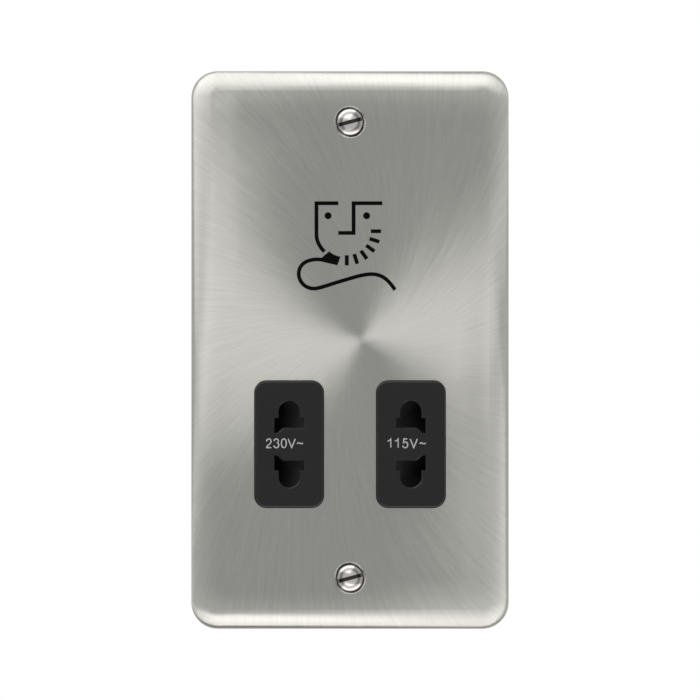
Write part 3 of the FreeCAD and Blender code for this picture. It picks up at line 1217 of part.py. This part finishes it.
for terminal_name, terminal_number in TERMINALS.items():
    build_terminal(terminal_name, terminal_number)
    build_small_screw(f"terminal_screw_{terminal_name}",
                      ("clamp_thread",
                       f"{CLAMP_SEAT} - {BORE_MIDDLE} - wire_bore / 2 - clamp_lift",
                       "clamp_head", "clamp_head_height"),
                      f"{BLOCK_X} + {terminal_number} * {TERMINAL_PITCH}", CLAMP_SEAT, CLAMP_Z)
build_earthing()
write_parts()
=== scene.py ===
import math

import bpy
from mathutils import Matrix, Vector


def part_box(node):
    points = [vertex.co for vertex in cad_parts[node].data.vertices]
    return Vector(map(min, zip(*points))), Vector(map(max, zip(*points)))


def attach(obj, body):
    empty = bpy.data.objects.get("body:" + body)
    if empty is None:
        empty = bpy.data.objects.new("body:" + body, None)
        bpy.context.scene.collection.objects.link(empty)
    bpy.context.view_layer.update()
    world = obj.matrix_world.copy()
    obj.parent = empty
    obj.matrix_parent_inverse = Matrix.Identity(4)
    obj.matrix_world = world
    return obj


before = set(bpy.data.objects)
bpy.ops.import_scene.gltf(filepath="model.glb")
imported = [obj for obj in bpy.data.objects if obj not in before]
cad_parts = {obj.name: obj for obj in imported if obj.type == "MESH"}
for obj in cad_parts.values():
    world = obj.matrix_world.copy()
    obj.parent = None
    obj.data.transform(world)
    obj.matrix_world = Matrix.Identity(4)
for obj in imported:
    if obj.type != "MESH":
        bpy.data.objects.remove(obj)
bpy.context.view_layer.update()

# Looks for a flush shaver socket: brushed plate, black outlets, print, lights and camera.
# Lengths are in metres and angles in radians. X is right, Y goes into the wall and Z is up.

MM = 0.001
HOUSING = "housing"
WHITE = (1.0, 1.0, 1.0, 1.0)
BLACK = (0.0, 0.0, 0.0)
plate_low, plate_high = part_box("faceplate")
PLATE_FRONT = plate_low[1]
PLATE_HEIGHT = plate_high[2] - plate_low[2]
BLOCK_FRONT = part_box("front_moulding")[0][1]
SCREW_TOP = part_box("fixing_screw_upper")[0][1]

# Sockets of a Mix node that hold its factor, its two colours and its result
MIX_FACTOR, MIX_DARK, MIX_LIGHT, MIX_RESULT = 0, 6, 7, 2
# The values that a noise mostly has, and the middle of them
NOISE_RANGE = (0.3, 0.7)
NOISE_MIDDLE = 0.5


class Nodes:
    """A short way to build one material's or world's node tree."""

    def __init__(self, owner):
        owner.use_nodes = True
        self.tree = owner.node_tree
        self.tree.nodes.clear()

    def add(self, kind, inputs=None, **settings):
        node = self.tree.nodes.new(kind)
        for name, setting in settings.items():
            setattr(node, name, setting)
        for name, source in (inputs or {}).items():
            if isinstance(source, bpy.types.NodeSocket):
                self.tree.links.new(source, node.inputs[name])
            else:
                node.inputs[name].default_value = source
        return node

    def place(self):
        return self.add("ShaderNodeTexCoord").outputs["Object"]

    def parts(self, vector):
        return self.add("ShaderNodeSeparateXYZ", {"Vector": vector}).outputs

    def maths(self, operation, *inputs):
        return self.add("ShaderNodeMath", dict(enumerate(inputs)), operation=operation).outputs[0]

    def vector(self, operation, *inputs):
        sources = dict(enumerate(inputs))
        return self.add("ShaderNodeVectorMath", sources, operation=operation).outputs["Vector"]

    def scaled(self, vector, scale):
        inputs = {0: vector, "Scale": scale}
        return self.add("ShaderNodeVectorMath", inputs, operation="SCALE").outputs["Vector"]

    def length(self, vector):
        return self.add("ShaderNodeVectorMath", {0: vector}, operation="LENGTH").outputs["Value"]

    def turned(self, vector, angle):
        """A direction in the plate's plane, turned clockwise as seen from the front."""
        inputs = {"Vector": vector, "Axis": (0.0, 1.0, 0.0), "Angle": angle}
        return self.add("ShaderNodeVectorRotate", inputs).outputs["Vector"]

    def noise(self, vector, scale, detail=2.0, roughness=0.5):
        inputs = {"Vector": vector, "Scale": scale, "Detail": detail, "Roughness": roughness}
        return self.add("ShaderNodeTexNoise", inputs).outputs["Fac"]

    def ramp(self, value, before, after=(0.0, 1.0), kind="LINEAR"):
        """A value taken from one range to another, and held inside it."""
        inputs = {"Value": value, "From Min": before[0], "From Max": before[1],
                  "To Min": after[0], "To Max": after[1]}
        return self.add("ShaderNodeMapRange", inputs, interpolation_type=kind).outputs["Result"]

    def spread(self, noise, low, high):
        """A noise value taken to low to high."""
        return self.ramp(noise, NOISE_RANGE, (low, high))

    def tint(self, factor, dark, light):
        """A colour that goes from dark at 0 to light at 1."""
        inputs = {MIX_FACTOR: factor, MIX_DARK: (*dark, 1.0), MIX_LIGHT: (*light, 1.0)}
        return self.add("ShaderNodeMix", inputs, data_type="RGBA").outputs[MIX_RESULT]

    def bump(self, height, strength, distance, normal=None):
        inputs = {"Height": height, "Strength": strength, "Distance": distance}
        if normal is not None:
            inputs["Normal"] = normal
        return self.add("ShaderNodeBump", inputs).outputs["Normal"]

    def finish(self, shader):
        self.add("ShaderNodeOutputMaterial", {"Surface": shader})

    def principled(self, inputs):
        self.finish(self.add("ShaderNodeBsdfPrincipled", inputs).outputs["BSDF"])


# A surface's fine grain: its scale, its detail and its height. The broad patches vary its colour
FINE_SCALE = 700.0
FINE_DETAIL = 3.0
FINE_HEIGHT = 0.02 * MM
PATCH_SCALE = 35.0
ROUGHNESS_CHANGE = 0.15


def plain(name, colour, roughness, metallic=0.0, change=0.12, bump=0.15, sockets=()):
    """A material whose colour, roughness and surface vary a little with a fine grain."""
    material = bpy.data.materials.new(name)
    nodes = Nodes(material)
    place = nodes.place()
    fine = nodes.noise(place, FINE_SCALE, FINE_DETAIL)
    broad = nodes.noise(place, PATCH_SCALE)
    dark = [c * (1.0 - change) for c in colour]
    light = [min(c * (1.0 + change), 1.0) for c in colour]
    inputs = {
        "Base Color": nodes.tint(nodes.spread(broad, 0.0, 1.0), dark, light),
        "Roughness": nodes.spread(fine, roughness * (1.0 - ROUGHNESS_CHANGE),
                                  roughness * (1.0 + ROUGHNESS_CHANGE)),
        "Metallic": metallic,
        "Normal": nodes.bump(fine, bump, FINE_HEIGHT),
    }
    inputs.update(sockets)
    nodes.principled(inputs)
    return material


# The plate's grain leaves one point as an even spiral. Its tangent, on which the bright and dark
# fields depend, leans more and more: from LEAN[0] at that point to LEAN[1] at LEAN_REACH from it
BRUSH_CENTRE = (3.1 * MM, 0.0, 2.8 * MM)
BRUSH_SPIRAL = math.tan(math.radians(15.0))
LEAN = (math.radians(-10.0), math.radians(26.0))
LEAN_REACH = 55.0 * MM
# Number and detail of the strokes, and of the broader bundles that make the lean uneven
STROKES_AROUND = 70.0
STROKES_OUTWARDS = 90.0
BUNDLES_AROUND = 18.0
BUNDLES_LEAN = 0.4
BRUSH_DETAIL = 4.0
STROKES_ROUGHNESS = 0.75
BUNDLES_ROUGHNESS = 0.7
# Near the centre the strokes fade, and the directions blur by a very fine shift
STROKES_FADE = 12.0 * MM
CENTRE_BLUR = 8.0 * MM
BLUR_SCALE = 3500.0
# The satin metal. It mirrors the white background, so its colour is low
SATIN_DARK = (0.272, 0.275, 0.254)
SATIN_LIGHT = (0.325, 0.329, 0.304)
SATIN_ROUGHNESS = (0.42, 0.48)
SATIN_ANISOTROPY = 0.95
SATIN_BUMP = 0.12
# The rolled edge starts softly: where that is first felt and where it ends, both measured inwards
# from the plate's sides, and how deep it seems
EDGE_REACH = 13.0 * MM
EDGE_END = 2.5 * MM
EDGE_DROP = 0.5 * MM
# Its colour is also painted brighter than the flat, a painted highlight on the roll, and less so
# at the left and right
RIM_HIGHLIGHT_START = 10.0 * MM
RIM_HIGHLIGHT_END = 2.0 * MM
RIM_PAINTED_HIGHLIGHT = 0.4
RIM_HIGHLIGHT_AT_SIDES = 0.65


def reach_outwards(nodes, sideways=1.0):
    """How far a point lies outside the middle field, which ends EDGE_REACH inside the plate."""
    corner = (plate_high[0] - EDGE_REACH, 0.0, plate_high[2] - EDGE_REACH)
    past = nodes.vector("SUBTRACT", nodes.vector("ABSOLUTE", nodes.place()), corner)
    outside = nodes.vector("MAXIMUM", past, (0.0, 0.0, 0.0))
    return nodes.length(nodes.vector("MULTIPLY", outside, (sideways, 0.0, 1.0)))


def soft_edge(nodes):
    """A normal that starts to lean a little before the rolled edge, as on pressed sheet."""
    drop = nodes.ramp(reach_outwards(nodes), (0.0, EDGE_REACH - EDGE_END), (0.0, -EDGE_DROP),
                      "SMOOTHSTEP")
    return nodes.bump(drop, 1.0, 1.0)


def brushed_plate():
    """Satin plate whose fine grain spirals outwards from near its middle, with a painted highlight
    along its rolled edge.
    """
    material = bpy.data.materials.new("brushed_plate")
    nodes = Nodes(material)
    from_centre = nodes.vector("SUBTRACT", nodes.place(), BRUSH_CENTRE)
    flat = nodes.vector("MULTIPLY", from_centre, (1.0, 0.0, 1.0))
    radius = nodes.length(flat)
    twist = nodes.maths("MULTIPLY", nodes.maths("LOGARITHM", radius, math.e), BRUSH_SPIRAL)
    start = nodes.turned(nodes.vector("NORMALIZE", flat), twist)

    along = nodes.add("ShaderNodeCombineXYZ",
                      {"Y": nodes.maths("MULTIPLY", radius, STROKES_OUTWARDS)}).outputs["Vector"]
    streaks = nodes.vector("ADD", nodes.scaled(start, STROKES_AROUND), along)
    strokes = nodes.noise(streaks, 1.0, BRUSH_DETAIL, STROKES_ROUGHNESS)
    fade = nodes.ramp(radius, (0.0, STROKES_FADE), kind="SMOOTHSTEP")
    grain = nodes.ramp(fade, (0.0, 1.0), (NOISE_MIDDLE, strokes))

    bundles = nodes.noise(nodes.scaled(start, BUNDLES_AROUND), 1.0, BRUSH_DETAIL,
                          BUNDLES_ROUGHNESS)
    uneven = nodes.maths("MULTIPLY", nodes.maths("SUBTRACT", bundles, NOISE_MIDDLE), BUNDLES_LEAN)
    lean = nodes.maths("ADD", nodes.ramp(radius, (0.0, LEAN_REACH), LEAN), uneven)

    blur = nodes.add("ShaderNodeTexNoise", {"Vector": flat, "Scale": BLUR_SCALE}).outputs["Color"]
    shift = nodes.vector("SUBTRACT", blur, (NOISE_MIDDLE, NOISE_MIDDLE, NOISE_MIDDLE))
    blurred = nodes.vector("MULTIPLY_ADD", shift, (CENTRE_BLUR, 0.0, CENTRE_BLUR), flat)
    across = nodes.turned(nodes.vector("NORMALIZE", blurred),
                          nodes.maths("SUBTRACT", -math.pi / 2, lean))

    # Painted highlight: the colour grows brighter towards the rolled edge, less so at the left and
    # right
    painted_rim_highlight = nodes.ramp(reach_outwards(nodes, RIM_HIGHLIGHT_AT_SIDES),
                     (EDGE_REACH - RIM_HIGHLIGHT_START, EDGE_REACH - RIM_HIGHLIGHT_END), (1.0, 1.0 + RIM_PAINTED_HIGHLIGHT),
                     "SMOOTHSTEP")
    satin = nodes.tint(nodes.spread(grain, 0.0, 1.0), SATIN_DARK, SATIN_LIGHT)
    nodes.principled({
        "Base Color": nodes.scaled(satin, painted_rim_highlight),
        "Metallic": 1.0,
        "Roughness": nodes.spread(grain, *SATIN_ROUGHNESS),
        "Anisotropic": SATIN_ANISOTROPY,
        "Tangent": across,
        "Normal": nodes.bump(grain, SATIN_BUMP, FINE_HEIGHT, soft_edge(nodes)),
    })
    return material


# The black moulding, with lighter edges in a thin band from a start to an end depth behind the
# front of its blocks: partly wear, partly a painted sheen
MOULDING_BLACK = (0.008, 0.0088, 0.0085)
MOULDING_WORN_SHEEN = (0.019, 0.019, 0.019)
MOULDING_ROUGHNESS = (0.23, 0.25)
MOULDING_SPECULAR = 0.18
MOULDING_BUMP = 0.02
WEAR_SHEEN_START = 0.02 * MM
WEAR_SHEEN_END = 0.3 * MM


def black_moulding():
    """Smooth black moulding whose edges are a little worn and carry a painted sheen, lighter than
    the rest.
    """
    material = bpy.data.materials.new("black_moulding")
    nodes = Nodes(material)
    place = nodes.place()
    fine = nodes.noise(place, FINE_SCALE, FINE_DETAIL)
    behind = nodes.maths("SUBTRACT", nodes.parts(place)["Y"], BLOCK_FRONT)
    # Wear and painted sheen: a thin band just behind the front of the blocks is lighter
    wear_and_sheen = nodes.maths("MULTIPLY", nodes.maths("GREATER_THAN", behind, WEAR_SHEEN_START),
                       nodes.maths("LESS_THAN", behind, WEAR_SHEEN_END))
    nodes.principled({
        "Base Color": nodes.tint(wear_and_sheen, MOULDING_BLACK, MOULDING_WORN_SHEEN),
        "Roughness": nodes.spread(fine, *MOULDING_ROUGHNESS),
        "Specular IOR Level": MOULDING_SPECULAR,
        "Normal": nodes.bump(fine, MOULDING_BUMP, FINE_HEIGHT),
    })
    return material


# A fixing screw's head, which is a dome with one slot across it
SCREW_INSET = 13.5 * MM
SCREW_HEIGHT = PLATE_HEIGHT / 2 - SCREW_INSET
DOME_RADIUS = 7.49 * MM
HEAD_RADIUS = 3.65 * MM
SLOT_DEPTH = 1.15 * MM
# Its colour, and the light and shade painted on it: painted shade at these depths of the slot, and
# painted rings of reflection and shade from the head's middle (0) to its edge (1), none behind
# SHAFT_DEPTH
SCREW_COLOUR = (0.40, 0.39, 0.373)
SCREW_ROUGHNESS = (0.16, 0.24)
SLOT_SHADE_DEPTHS = (0.2 * MM, 0.6 * MM)
SLOT_PAINTED_SHADE = 0.08
HEAD_PAINTED_RINGS = ((0.0, 1.0), (0.48, 1.0), (0.62, 0.4), (0.72, 0.4), (0.80, 0.8), (0.87, 0.8),
              (0.95, 0.08), (1.0, 0.05))
SHAFT_DEPTH = 1.05 * SLOT_DEPTH
SMEAR_SCALE = 500.0
SMEAR_BUMP = 0.1
SMEAR_HEIGHT = 0.05 * MM


def chromed_steel():
    """Bright screws, with painted shade down the slot and painted rings of reflection and shade
    towards the edge of the head.
    """
    material = bpy.data.materials.new("chromed_steel")
    nodes = Nodes(material)
    place = nodes.place()
    parts = nodes.parts(place)
    up = nodes.maths("SUBTRACT", nodes.maths("ABSOLUTE", parts["Z"]), SCREW_HEIGHT)
    radius = nodes.maths("SQRT", nodes.maths("ADD", nodes.maths("POWER", parts["X"], 2.0),
                                             nodes.maths("POWER", up, 2.0)))
    dome = nodes.maths("DIVIDE", nodes.maths("POWER", radius, 2.0), 2.0 * DOME_RADIUS)
    depth = nodes.maths("SUBTRACT", parts["Y"], nodes.maths("ADD", dome, SCREW_TOP))
    # Painted shade: the slot grows darker with depth
    slot_painted_shade = nodes.ramp(depth, SLOT_SHADE_DEPTHS, (1.0, SLOT_PAINTED_SHADE), "SMOOTHSTEP")
    # Painted reflection and shade: darker and lighter rings across the head, darkest at its edge
    painted_rings = nodes.add("ShaderNodeValToRGB", {"Fac": nodes.maths("DIVIDE", radius, HEAD_RADIUS)})
    ramp = painted_rings.color_ramp
    ramp.interpolation = "EASE"
    while len(ramp.elements) < len(HEAD_PAINTED_RINGS):
        ramp.elements.new(1.0)
    for element, (position, level) in zip(ramp.elements, HEAD_PAINTED_RINGS):
        element.position = position
        element.color = (level, level, level, 1.0)
    shaft = nodes.maths("GREATER_THAN", nodes.maths("SUBTRACT", parts["Y"], SCREW_TOP),
                        SHAFT_DEPTH)
    painted_shade_and_reflection = nodes.maths("MAXIMUM", shaft, nodes.maths("MULTIPLY", slot_painted_shade, painted_rings.outputs["Color"]))
    smear = nodes.noise(place, SMEAR_SCALE)
    nodes.principled({
        "Base Color": nodes.tint(painted_shade_and_reflection, BLACK, SCREW_COLOUR),
        "Metallic": 1.0,
        "Roughness": nodes.spread(smear, *SCREW_ROUGHNESS),
        "Normal": nodes.bump(smear, SMEAR_BUMP, SMEAR_HEIGHT),
    })
    return material


def dress(names, material):
    """Gives CAD nodes a material."""
    for name in names:
        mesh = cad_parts[name].data
        mesh.materials.clear()
        mesh.materials.append(material)


def nodes_called(*words):
    """Names of the CAD nodes that start with one of the words."""
    return [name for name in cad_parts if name.startswith(words)]


def dress_cad():
    """One procedural material for each finish of the CAD nodes."""
    dress(["faceplate"], brushed_plate())
    dress(["front_moulding"], black_moulding())
    dress(["rear_case"], plain("black_case", (0.022, 0.022, 0.024), 0.55, bump=0.4))
    dress(["shutter_slider"], plain("shutter_plastic", (0.028, 0.028, 0.028), 0.5))
    dress(nodes_called("shutter_spring"), plain("spring_steel", (0.55, 0.55, 0.56), 0.3, 1.0))
    dress(["contact_carrier"], plain("carrier_plastic", (0.72, 0.70, 0.64), 0.5))
    dress(nodes_called("contact_left", "contact_right", "common_link"),
          plain("contact_brass", (0.75, 0.56, 0.26), 0.28, 1.0, change=0.2))
    dress(nodes_called("carrier_screw", "case_screw", "terminal_screw", "earth_stud", "earth_nut"),
          plain("zinc_steel", (0.60, 0.61, 0.60), 0.32, 1.0, change=0.2))
    dress(nodes_called("fixing_screw"), chromed_steel())
    dress(nodes_called("plate_bush", "terminal_live", "terminal_earth", "terminal_neutral"),
          plain("turned_brass", (0.78, 0.60, 0.32), 0.3, 1.0, change=0.15))
    dress(["transformer_core"], plain("core_steel", (0.22, 0.23, 0.25), 0.45, 0.9, change=0.2))
    dress(["bobbin"], plain("bobbin_nylon", (0.82, 0.81, 0.76), 0.5))
    dress(["primary_winding"], plain("primary_tape", (0.80, 0.60, 0.08), 0.4))
    dress(["secondary_winding"], plain("secondary_tape", (0.76, 0.55, 0.06), 0.4))
    dress(nodes_called("primary_tag", "secondary_tag", "earth_tag"),
          plain("tinned_metal", (0.68, 0.68, 0.66), 0.35, 1.0))
    dress(["thermal_cutout"], plain("cutout_plastic", (0.05, 0.05, 0.055), 0.45))


# Strength of the world's light on the object. Seen or mirrored, the world is white
WORLD_LEVEL = 0.07
FLOOR_LEVEL = -1.0
FLOOR_RADIUS = 2.0
FLOOR_CORNERS = 96
FLOOR_FADE = (0.15 * FLOOR_RADIUS, 0.6 * FLOOR_RADIUS)
FLOOR_COLOUR = (0.85, 0.85, 0.85, 1.0)


def white_to_view(nodes):
    """1 for rays from the camera and for reflected or transmitted ones, otherwise 0."""
    path = nodes.add("ShaderNodeLightPath").outputs
    seen = nodes.maths("MAXIMUM", path["Is Camera Ray"], path["Is Glossy Ray"])
    return nodes.maths("MAXIMUM", seen, path["Is Transmission Ray"])


def world_light():
    """Soft even light, and a white background."""
    world = bpy.data.worlds.new("studio")
    bpy.context.scene.world = world
    nodes = Nodes(world)
    strength = nodes.ramp(white_to_view(nodes), (0.0, 1.0), (WORLD_LEVEL, 1.0))
    background = nodes.add("ShaderNodeBackground", {"Color": WHITE, "Strength": strength})
    nodes.add("ShaderNodeOutputWorld", {"Surface": background.outputs[0]})


def floor():
    """Pale floor that keeps the object's shadow and fades to white away from it."""
    bpy.ops.mesh.primitive_circle_add(vertices=FLOOR_CORNERS, radius=FLOOR_RADIUS,
                                      fill_type="NGON", location=(0.0, 0.0, FLOOR_LEVEL))
    ground = bpy.context.object
    ground.name = "floor"
    material = bpy.data.materials.new("pale_floor")
    nodes = Nodes(material)
    away = nodes.ramp(nodes.length(nodes.place()), FLOOR_FADE, kind="SMOOTHSTEP")
    white = nodes.maths("MULTIPLY", away, white_to_view(nodes))
    pale = nodes.add("ShaderNodeBsdfDiffuse", {"Color": FLOOR_COLOUR})
    bright = nodes.add("ShaderNodeEmission", {"Color": WHITE, "Strength": 1.0})
    mixed = nodes.add("ShaderNodeMixShader", {"Fac": white, 1: pale.outputs[0],
                                              2: bright.outputs[0]})
    nodes.finish(mixed.outputs[0])
    ground.data.materials.append(material)


# The lamps: name, direction from the object, distance, width and height, power. The plate mirrors
# two broad ones, from above and from below. Two faint ones light its rolled left and right edges
LAMP_COLOUR = (1.0, 0.955, 0.965)
LAMPS = (
    ("top_light", (-0.43, -0.50, 0.84), 1.0, (1.8, 1.2), 18.3),
    ("low_light", (0.19, -0.56, -0.85), 0.9, (1.5, 0.84), 10.7),
    ("left_light", (-0.98, -0.20, 0.10), 1.0, (0.8, 1.2), 0.5),
    ("right_light", (0.98, -0.20, 0.0), 1.0, (0.8, 1.2), 0.8),
)


def lamp(name, direction, distance, size, power):
    """A rectangular soft light that faces the object and isn't seen itself."""
    data = bpy.data.lights.new(name, "AREA")
    data.shape = "RECTANGLE"
    data.size, data.size_y = size
    data.energy = power
    data.color = LAMP_COLOUR
    light = bpy.data.objects.new(name, data)
    light.location = Vector(direction).normalized() * distance
    light.rotation_euler = (-light.location).to_track_quat("-Z", "Y").to_euler()
    light.visible_camera = False
    bpy.context.collection.objects.link(light)


# The camera, straight in front of the plate as in the photograph
PHOTO_PIXELS = 700
PLATE_HEIGHT_PIXELS = 558.3
CAMERA_DISTANCE = 2.5
CAMERA_CLIP = 0.01
SENSOR = 36.0
VIEW_HEIGHT = PLATE_HEIGHT * PHOTO_PIXELS / PLATE_HEIGHT_PIXELS


def camera():
    """The photograph's straight-on view."""
    data = bpy.data.cameras.new("photo_view")
    data.sensor_width = SENSOR
    data.lens = SENSOR * CAMERA_DISTANCE / VIEW_HEIGHT
    data.clip_start = CAMERA_CLIP
    view = bpy.data.objects.new("photo_view", data)
    view.location = (0.0, PLATE_FRONT - CAMERA_DISTANCE, 0.0)
    view.rotation_euler = (math.pi / 2, 0.0, 0.0)
    bpy.context.collection.objects.link(view)
    bpy.context.scene.camera = view


# Print: flat marks a few hundredths of a millimetre thick, laid on the face that carries them
PRINT_THICKNESS = 0.03 * MM
LINE_WIDTH = 1.0
SHARPEST_MITRE = 0.4
CURVE_STEPS = 24
DISC_CORNERS = 24


def flat_piece(name, outline, level, material):
    """Thin print from a closed outline of (x, z) points in millimetres, on a face at one level."""
    count = len(outline)
    vertices = [(x * MM, y, z * MM) for y in (level, level - PRINT_THICKNESS) for x, z in outline]
    faces = [list(reversed(range(count))), list(range(count, 2 * count))]
    for n in range(count):
        after = (n + 1) % count
        faces.append([n, after, count + after, count + n])
    mesh = bpy.data.meshes.new(name)
    mesh.from_pydata(vertices, [], faces)
    mesh.validate()
    piece = bpy.data.objects.new(name, mesh)
    bpy.context.collection.objects.link(piece)
    mesh.materials.append(material)
    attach(piece, HOUSING)


def ribbon(points, width=LINE_WIDTH):
    """The outline of a line of even width along (x, z) points, with square ends."""
    path = [Vector(point) for point in points]
    left, right = [], []
    for number, here in enumerate(path):
        before = path[max(number - 1, 0)]
        after = path[min(number + 1, len(path) - 1)]
        into = (here - before).normalized() if number else (after - here).normalized()
        out = (after - here).normalized() if number < len(path) - 1 else into
        middle = (into + out).normalized()
        aside = Vector((-middle.y, middle.x)) * width / 2 / max(middle.dot(into), SHARPEST_MITRE)
        left.append(tuple(here + aside))
        right.append(tuple(here - aside))
    return left + right[::-1]


def bezier(start, first, second, end):
    """Points along one cubic curve."""
    points = []
    for step in range(CURVE_STEPS + 1):
        t = step / CURVE_STEPS
        weights = ((1 - t) ** 3, 3 * t * (1 - t) ** 2, 3 * t ** 2 * (1 - t), t ** 3)
        points.append(tuple(sum(w * p[axis] for w, p in zip(weights, (start, first, second, end)))
                            for axis in (0, 1)))
    return points


def disc(centre, radius, count=DISC_CORNERS):
    """Points round a circle."""
    turn = 2 * math.pi / count
    return [(centre[0] + radius * math.cos(n * turn), centre[1] + radius * math.sin(n * turn))
            for n in range(count)]


# The usual sign for a shaver outlet, in millimetres from the plate's middle
HEAD_TOP = 38.8
HEAD_LEFT = -8.87
NOSE_X = 0.95
NOSE_BASE = 30.95
NOSE_TIP = -3.1
BROW_END = 8.55
EYES_X = (-5.8, 4.38)
EYE_LEVEL = 35.5
EYE_RADIUS = 0.92
RAY_CENTRE = (-0.85, 31.4)
RAY_INNER, RAY_OUTER = 6.35, 9.05
RAY_COUNT = 6


def shaver_sign(ink):
    """A plain face, rays at its chin and a shaver with its cord."""
    left_side = [(NOSE_TIP, HEAD_TOP), (HEAD_LEFT, HEAD_TOP)]
    cheek = bezier((HEAD_LEFT, 30.4), (HEAD_LEFT, 28.9), (-8.0, 27.2), (-6.75, 26.0))
    nose = [(BROW_END, HEAD_TOP), (NOSE_X, HEAD_TOP), (NOSE_X, NOSE_BASE), (NOSE_TIP, NOSE_BASE)]
    outlines = [ribbon(left_side + cheek), ribbon(nose)]
    outlines += [disc((x, EYE_LEVEL), EYE_RADIUS) for x in EYES_X]
    for number in range(RAY_COUNT):
        angle = -number * math.pi / 2 / (RAY_COUNT - 1)
        outlines.append(ribbon([(RAY_CENTRE[0] + reach * math.cos(angle),
                                 RAY_CENTRE[1] + reach * math.sin(angle))
                                for reach in (RAY_INNER, RAY_OUTER)]))
    shaver = bezier((-5.5, 26.1), (-4.7, 25.3), (-3.5, 24.8), (-2.5, 24.7))
    outlines.append(shaver + [(-3.35, 22.4), (-7.6, 23.4), (-7.6, 24.3)])
    cord = (bezier((-7.3, 23.85), (-11.0, 24.4), (-13.55, 22.8), (-13.55, 20.2))
            + bezier((-13.55, 20.2), (-13.55, 18.0), (-11.8, 16.25), (-9.6, 16.25))[1:]
            + bezier((-9.6, 16.25), (-8.0, 16.25), (-5.5, 17.3), (-2.05, 18.3))[1:]
            + bezier((-2.05, 18.3), (1.0, 19.2), (3.5, 20.05), (5.7, 20.05))[1:]
            + bezier((5.7, 20.05), (8.3, 20.05), (10.0, 18.8), (11.9, 15.9))[1:])
    outlines.append(ribbon(cord))
    for number, outline in enumerate(outlines):
        flat_piece(f"sign_stroke_{number + 1}", outline, PLATE_FRONT, ink)


# The ratings: each sign with the left end of its place in millimetres, and its strokes on a
# grid where a digit is 1 high and 0.6 wide
DIGIT_HEIGHT = 2.3
GRID_WIDTH = 2.15
PEN_WIDTH = 0.30
RATING_BASE = -25.8
RATINGS = {
    "left": (("2", -22.1), ("3", -20.12), ("0", -18.14), ("V", -16.16), ("~", -14.18)),
    "right": (("1", 9.82), ("1", 11.75), ("5", 13.95), ("V", 16.1), ("~", 18.25)),
}
GLYPHS = {
    "0": [bezier((0.0, 0.5), (0.0, 1.17), (0.6, 1.17), (0.6, 0.5))
          + bezier((0.6, 0.5), (0.6, -0.17), (0.0, -0.17), (0.0, 0.5))[1:]],
    "1": [[(0.06, 0.74), (0.30, 0.82), (0.45, 1.0), (0.45, 0.0)]],
    "2": [bezier((0.02, 0.70), (0.04, 1.09), (0.58, 1.12), (0.57, 0.70))
          + bezier((0.57, 0.70), (0.56, 0.42), (0.10, 0.32), (0.02, 0.0))[1:] + [(0.60, 0.0)]],
    "3": [bezier((0.02, 0.76), (0.08, 1.08), (0.56, 1.09), (0.55, 0.74))
          + bezier((0.55, 0.74), (0.54, 0.56), (0.40, 0.53), (0.24, 0.53))[1:],
          bezier((0.24, 0.53), (0.46, 0.53), (0.60, 0.46), (0.60, 0.28))
          + bezier((0.60, 0.28), (0.58, -0.12), (0.02, -0.10), (0.0, 0.26))[1:]],
    "5": [[(0.54, 1.0), (0.13, 1.0), (0.06, 0.50)]
          + bezier((0.06, 0.50), (0.22, 0.72), (0.60, 0.70), (0.60, 0.32))
          + bezier((0.60, 0.32), (0.60, -0.10), (0.04, -0.12), (0.0, 0.24))[1:]],
    "V": [[(-0.09, 1.0), (0.35, 0.0), (0.79, 1.0)]],
    "~": [bezier((0.10, 0.42), (0.28, 0.80), (0.60, 0.20), (0.79, 0.56))],
}


def rating(side, paint):
    """The rating of one outlet, printed on its block with an even pen."""
    for place, (letter, left) in enumerate(RATINGS[side]):
        for number, stroke in enumerate(GLYPHS[letter]):
            points = [(left + x * GRID_WIDTH, RATING_BASE + z * DIGIT_HEIGHT) for x, z in stroke]
            flat_piece(f"rating_{side}_{place + 1}_{number + 1}", ribbon(points, PEN_WIDTH),
                       BLOCK_FRONT, paint)


def marks():
    """All the print on the front."""
    ink = plain("black_ink", (0.004, 0.004, 0.004), 0.7, sockets={"Specular IOR Level": 0.0})
    paint = plain("grey_paint", (0.38, 0.395, 0.395), 0.6, sockets={"Specular IOR Level": 0.1})
    shaver_sign(ink)
    for side in RATINGS:
        rating(side, paint)


bpy.context.scene.view_settings.view_transform = "Standard"
camera()
world_light()
floor()
for settings in LAMPS:
    lamp(*settings)
dress_cad()
marks()
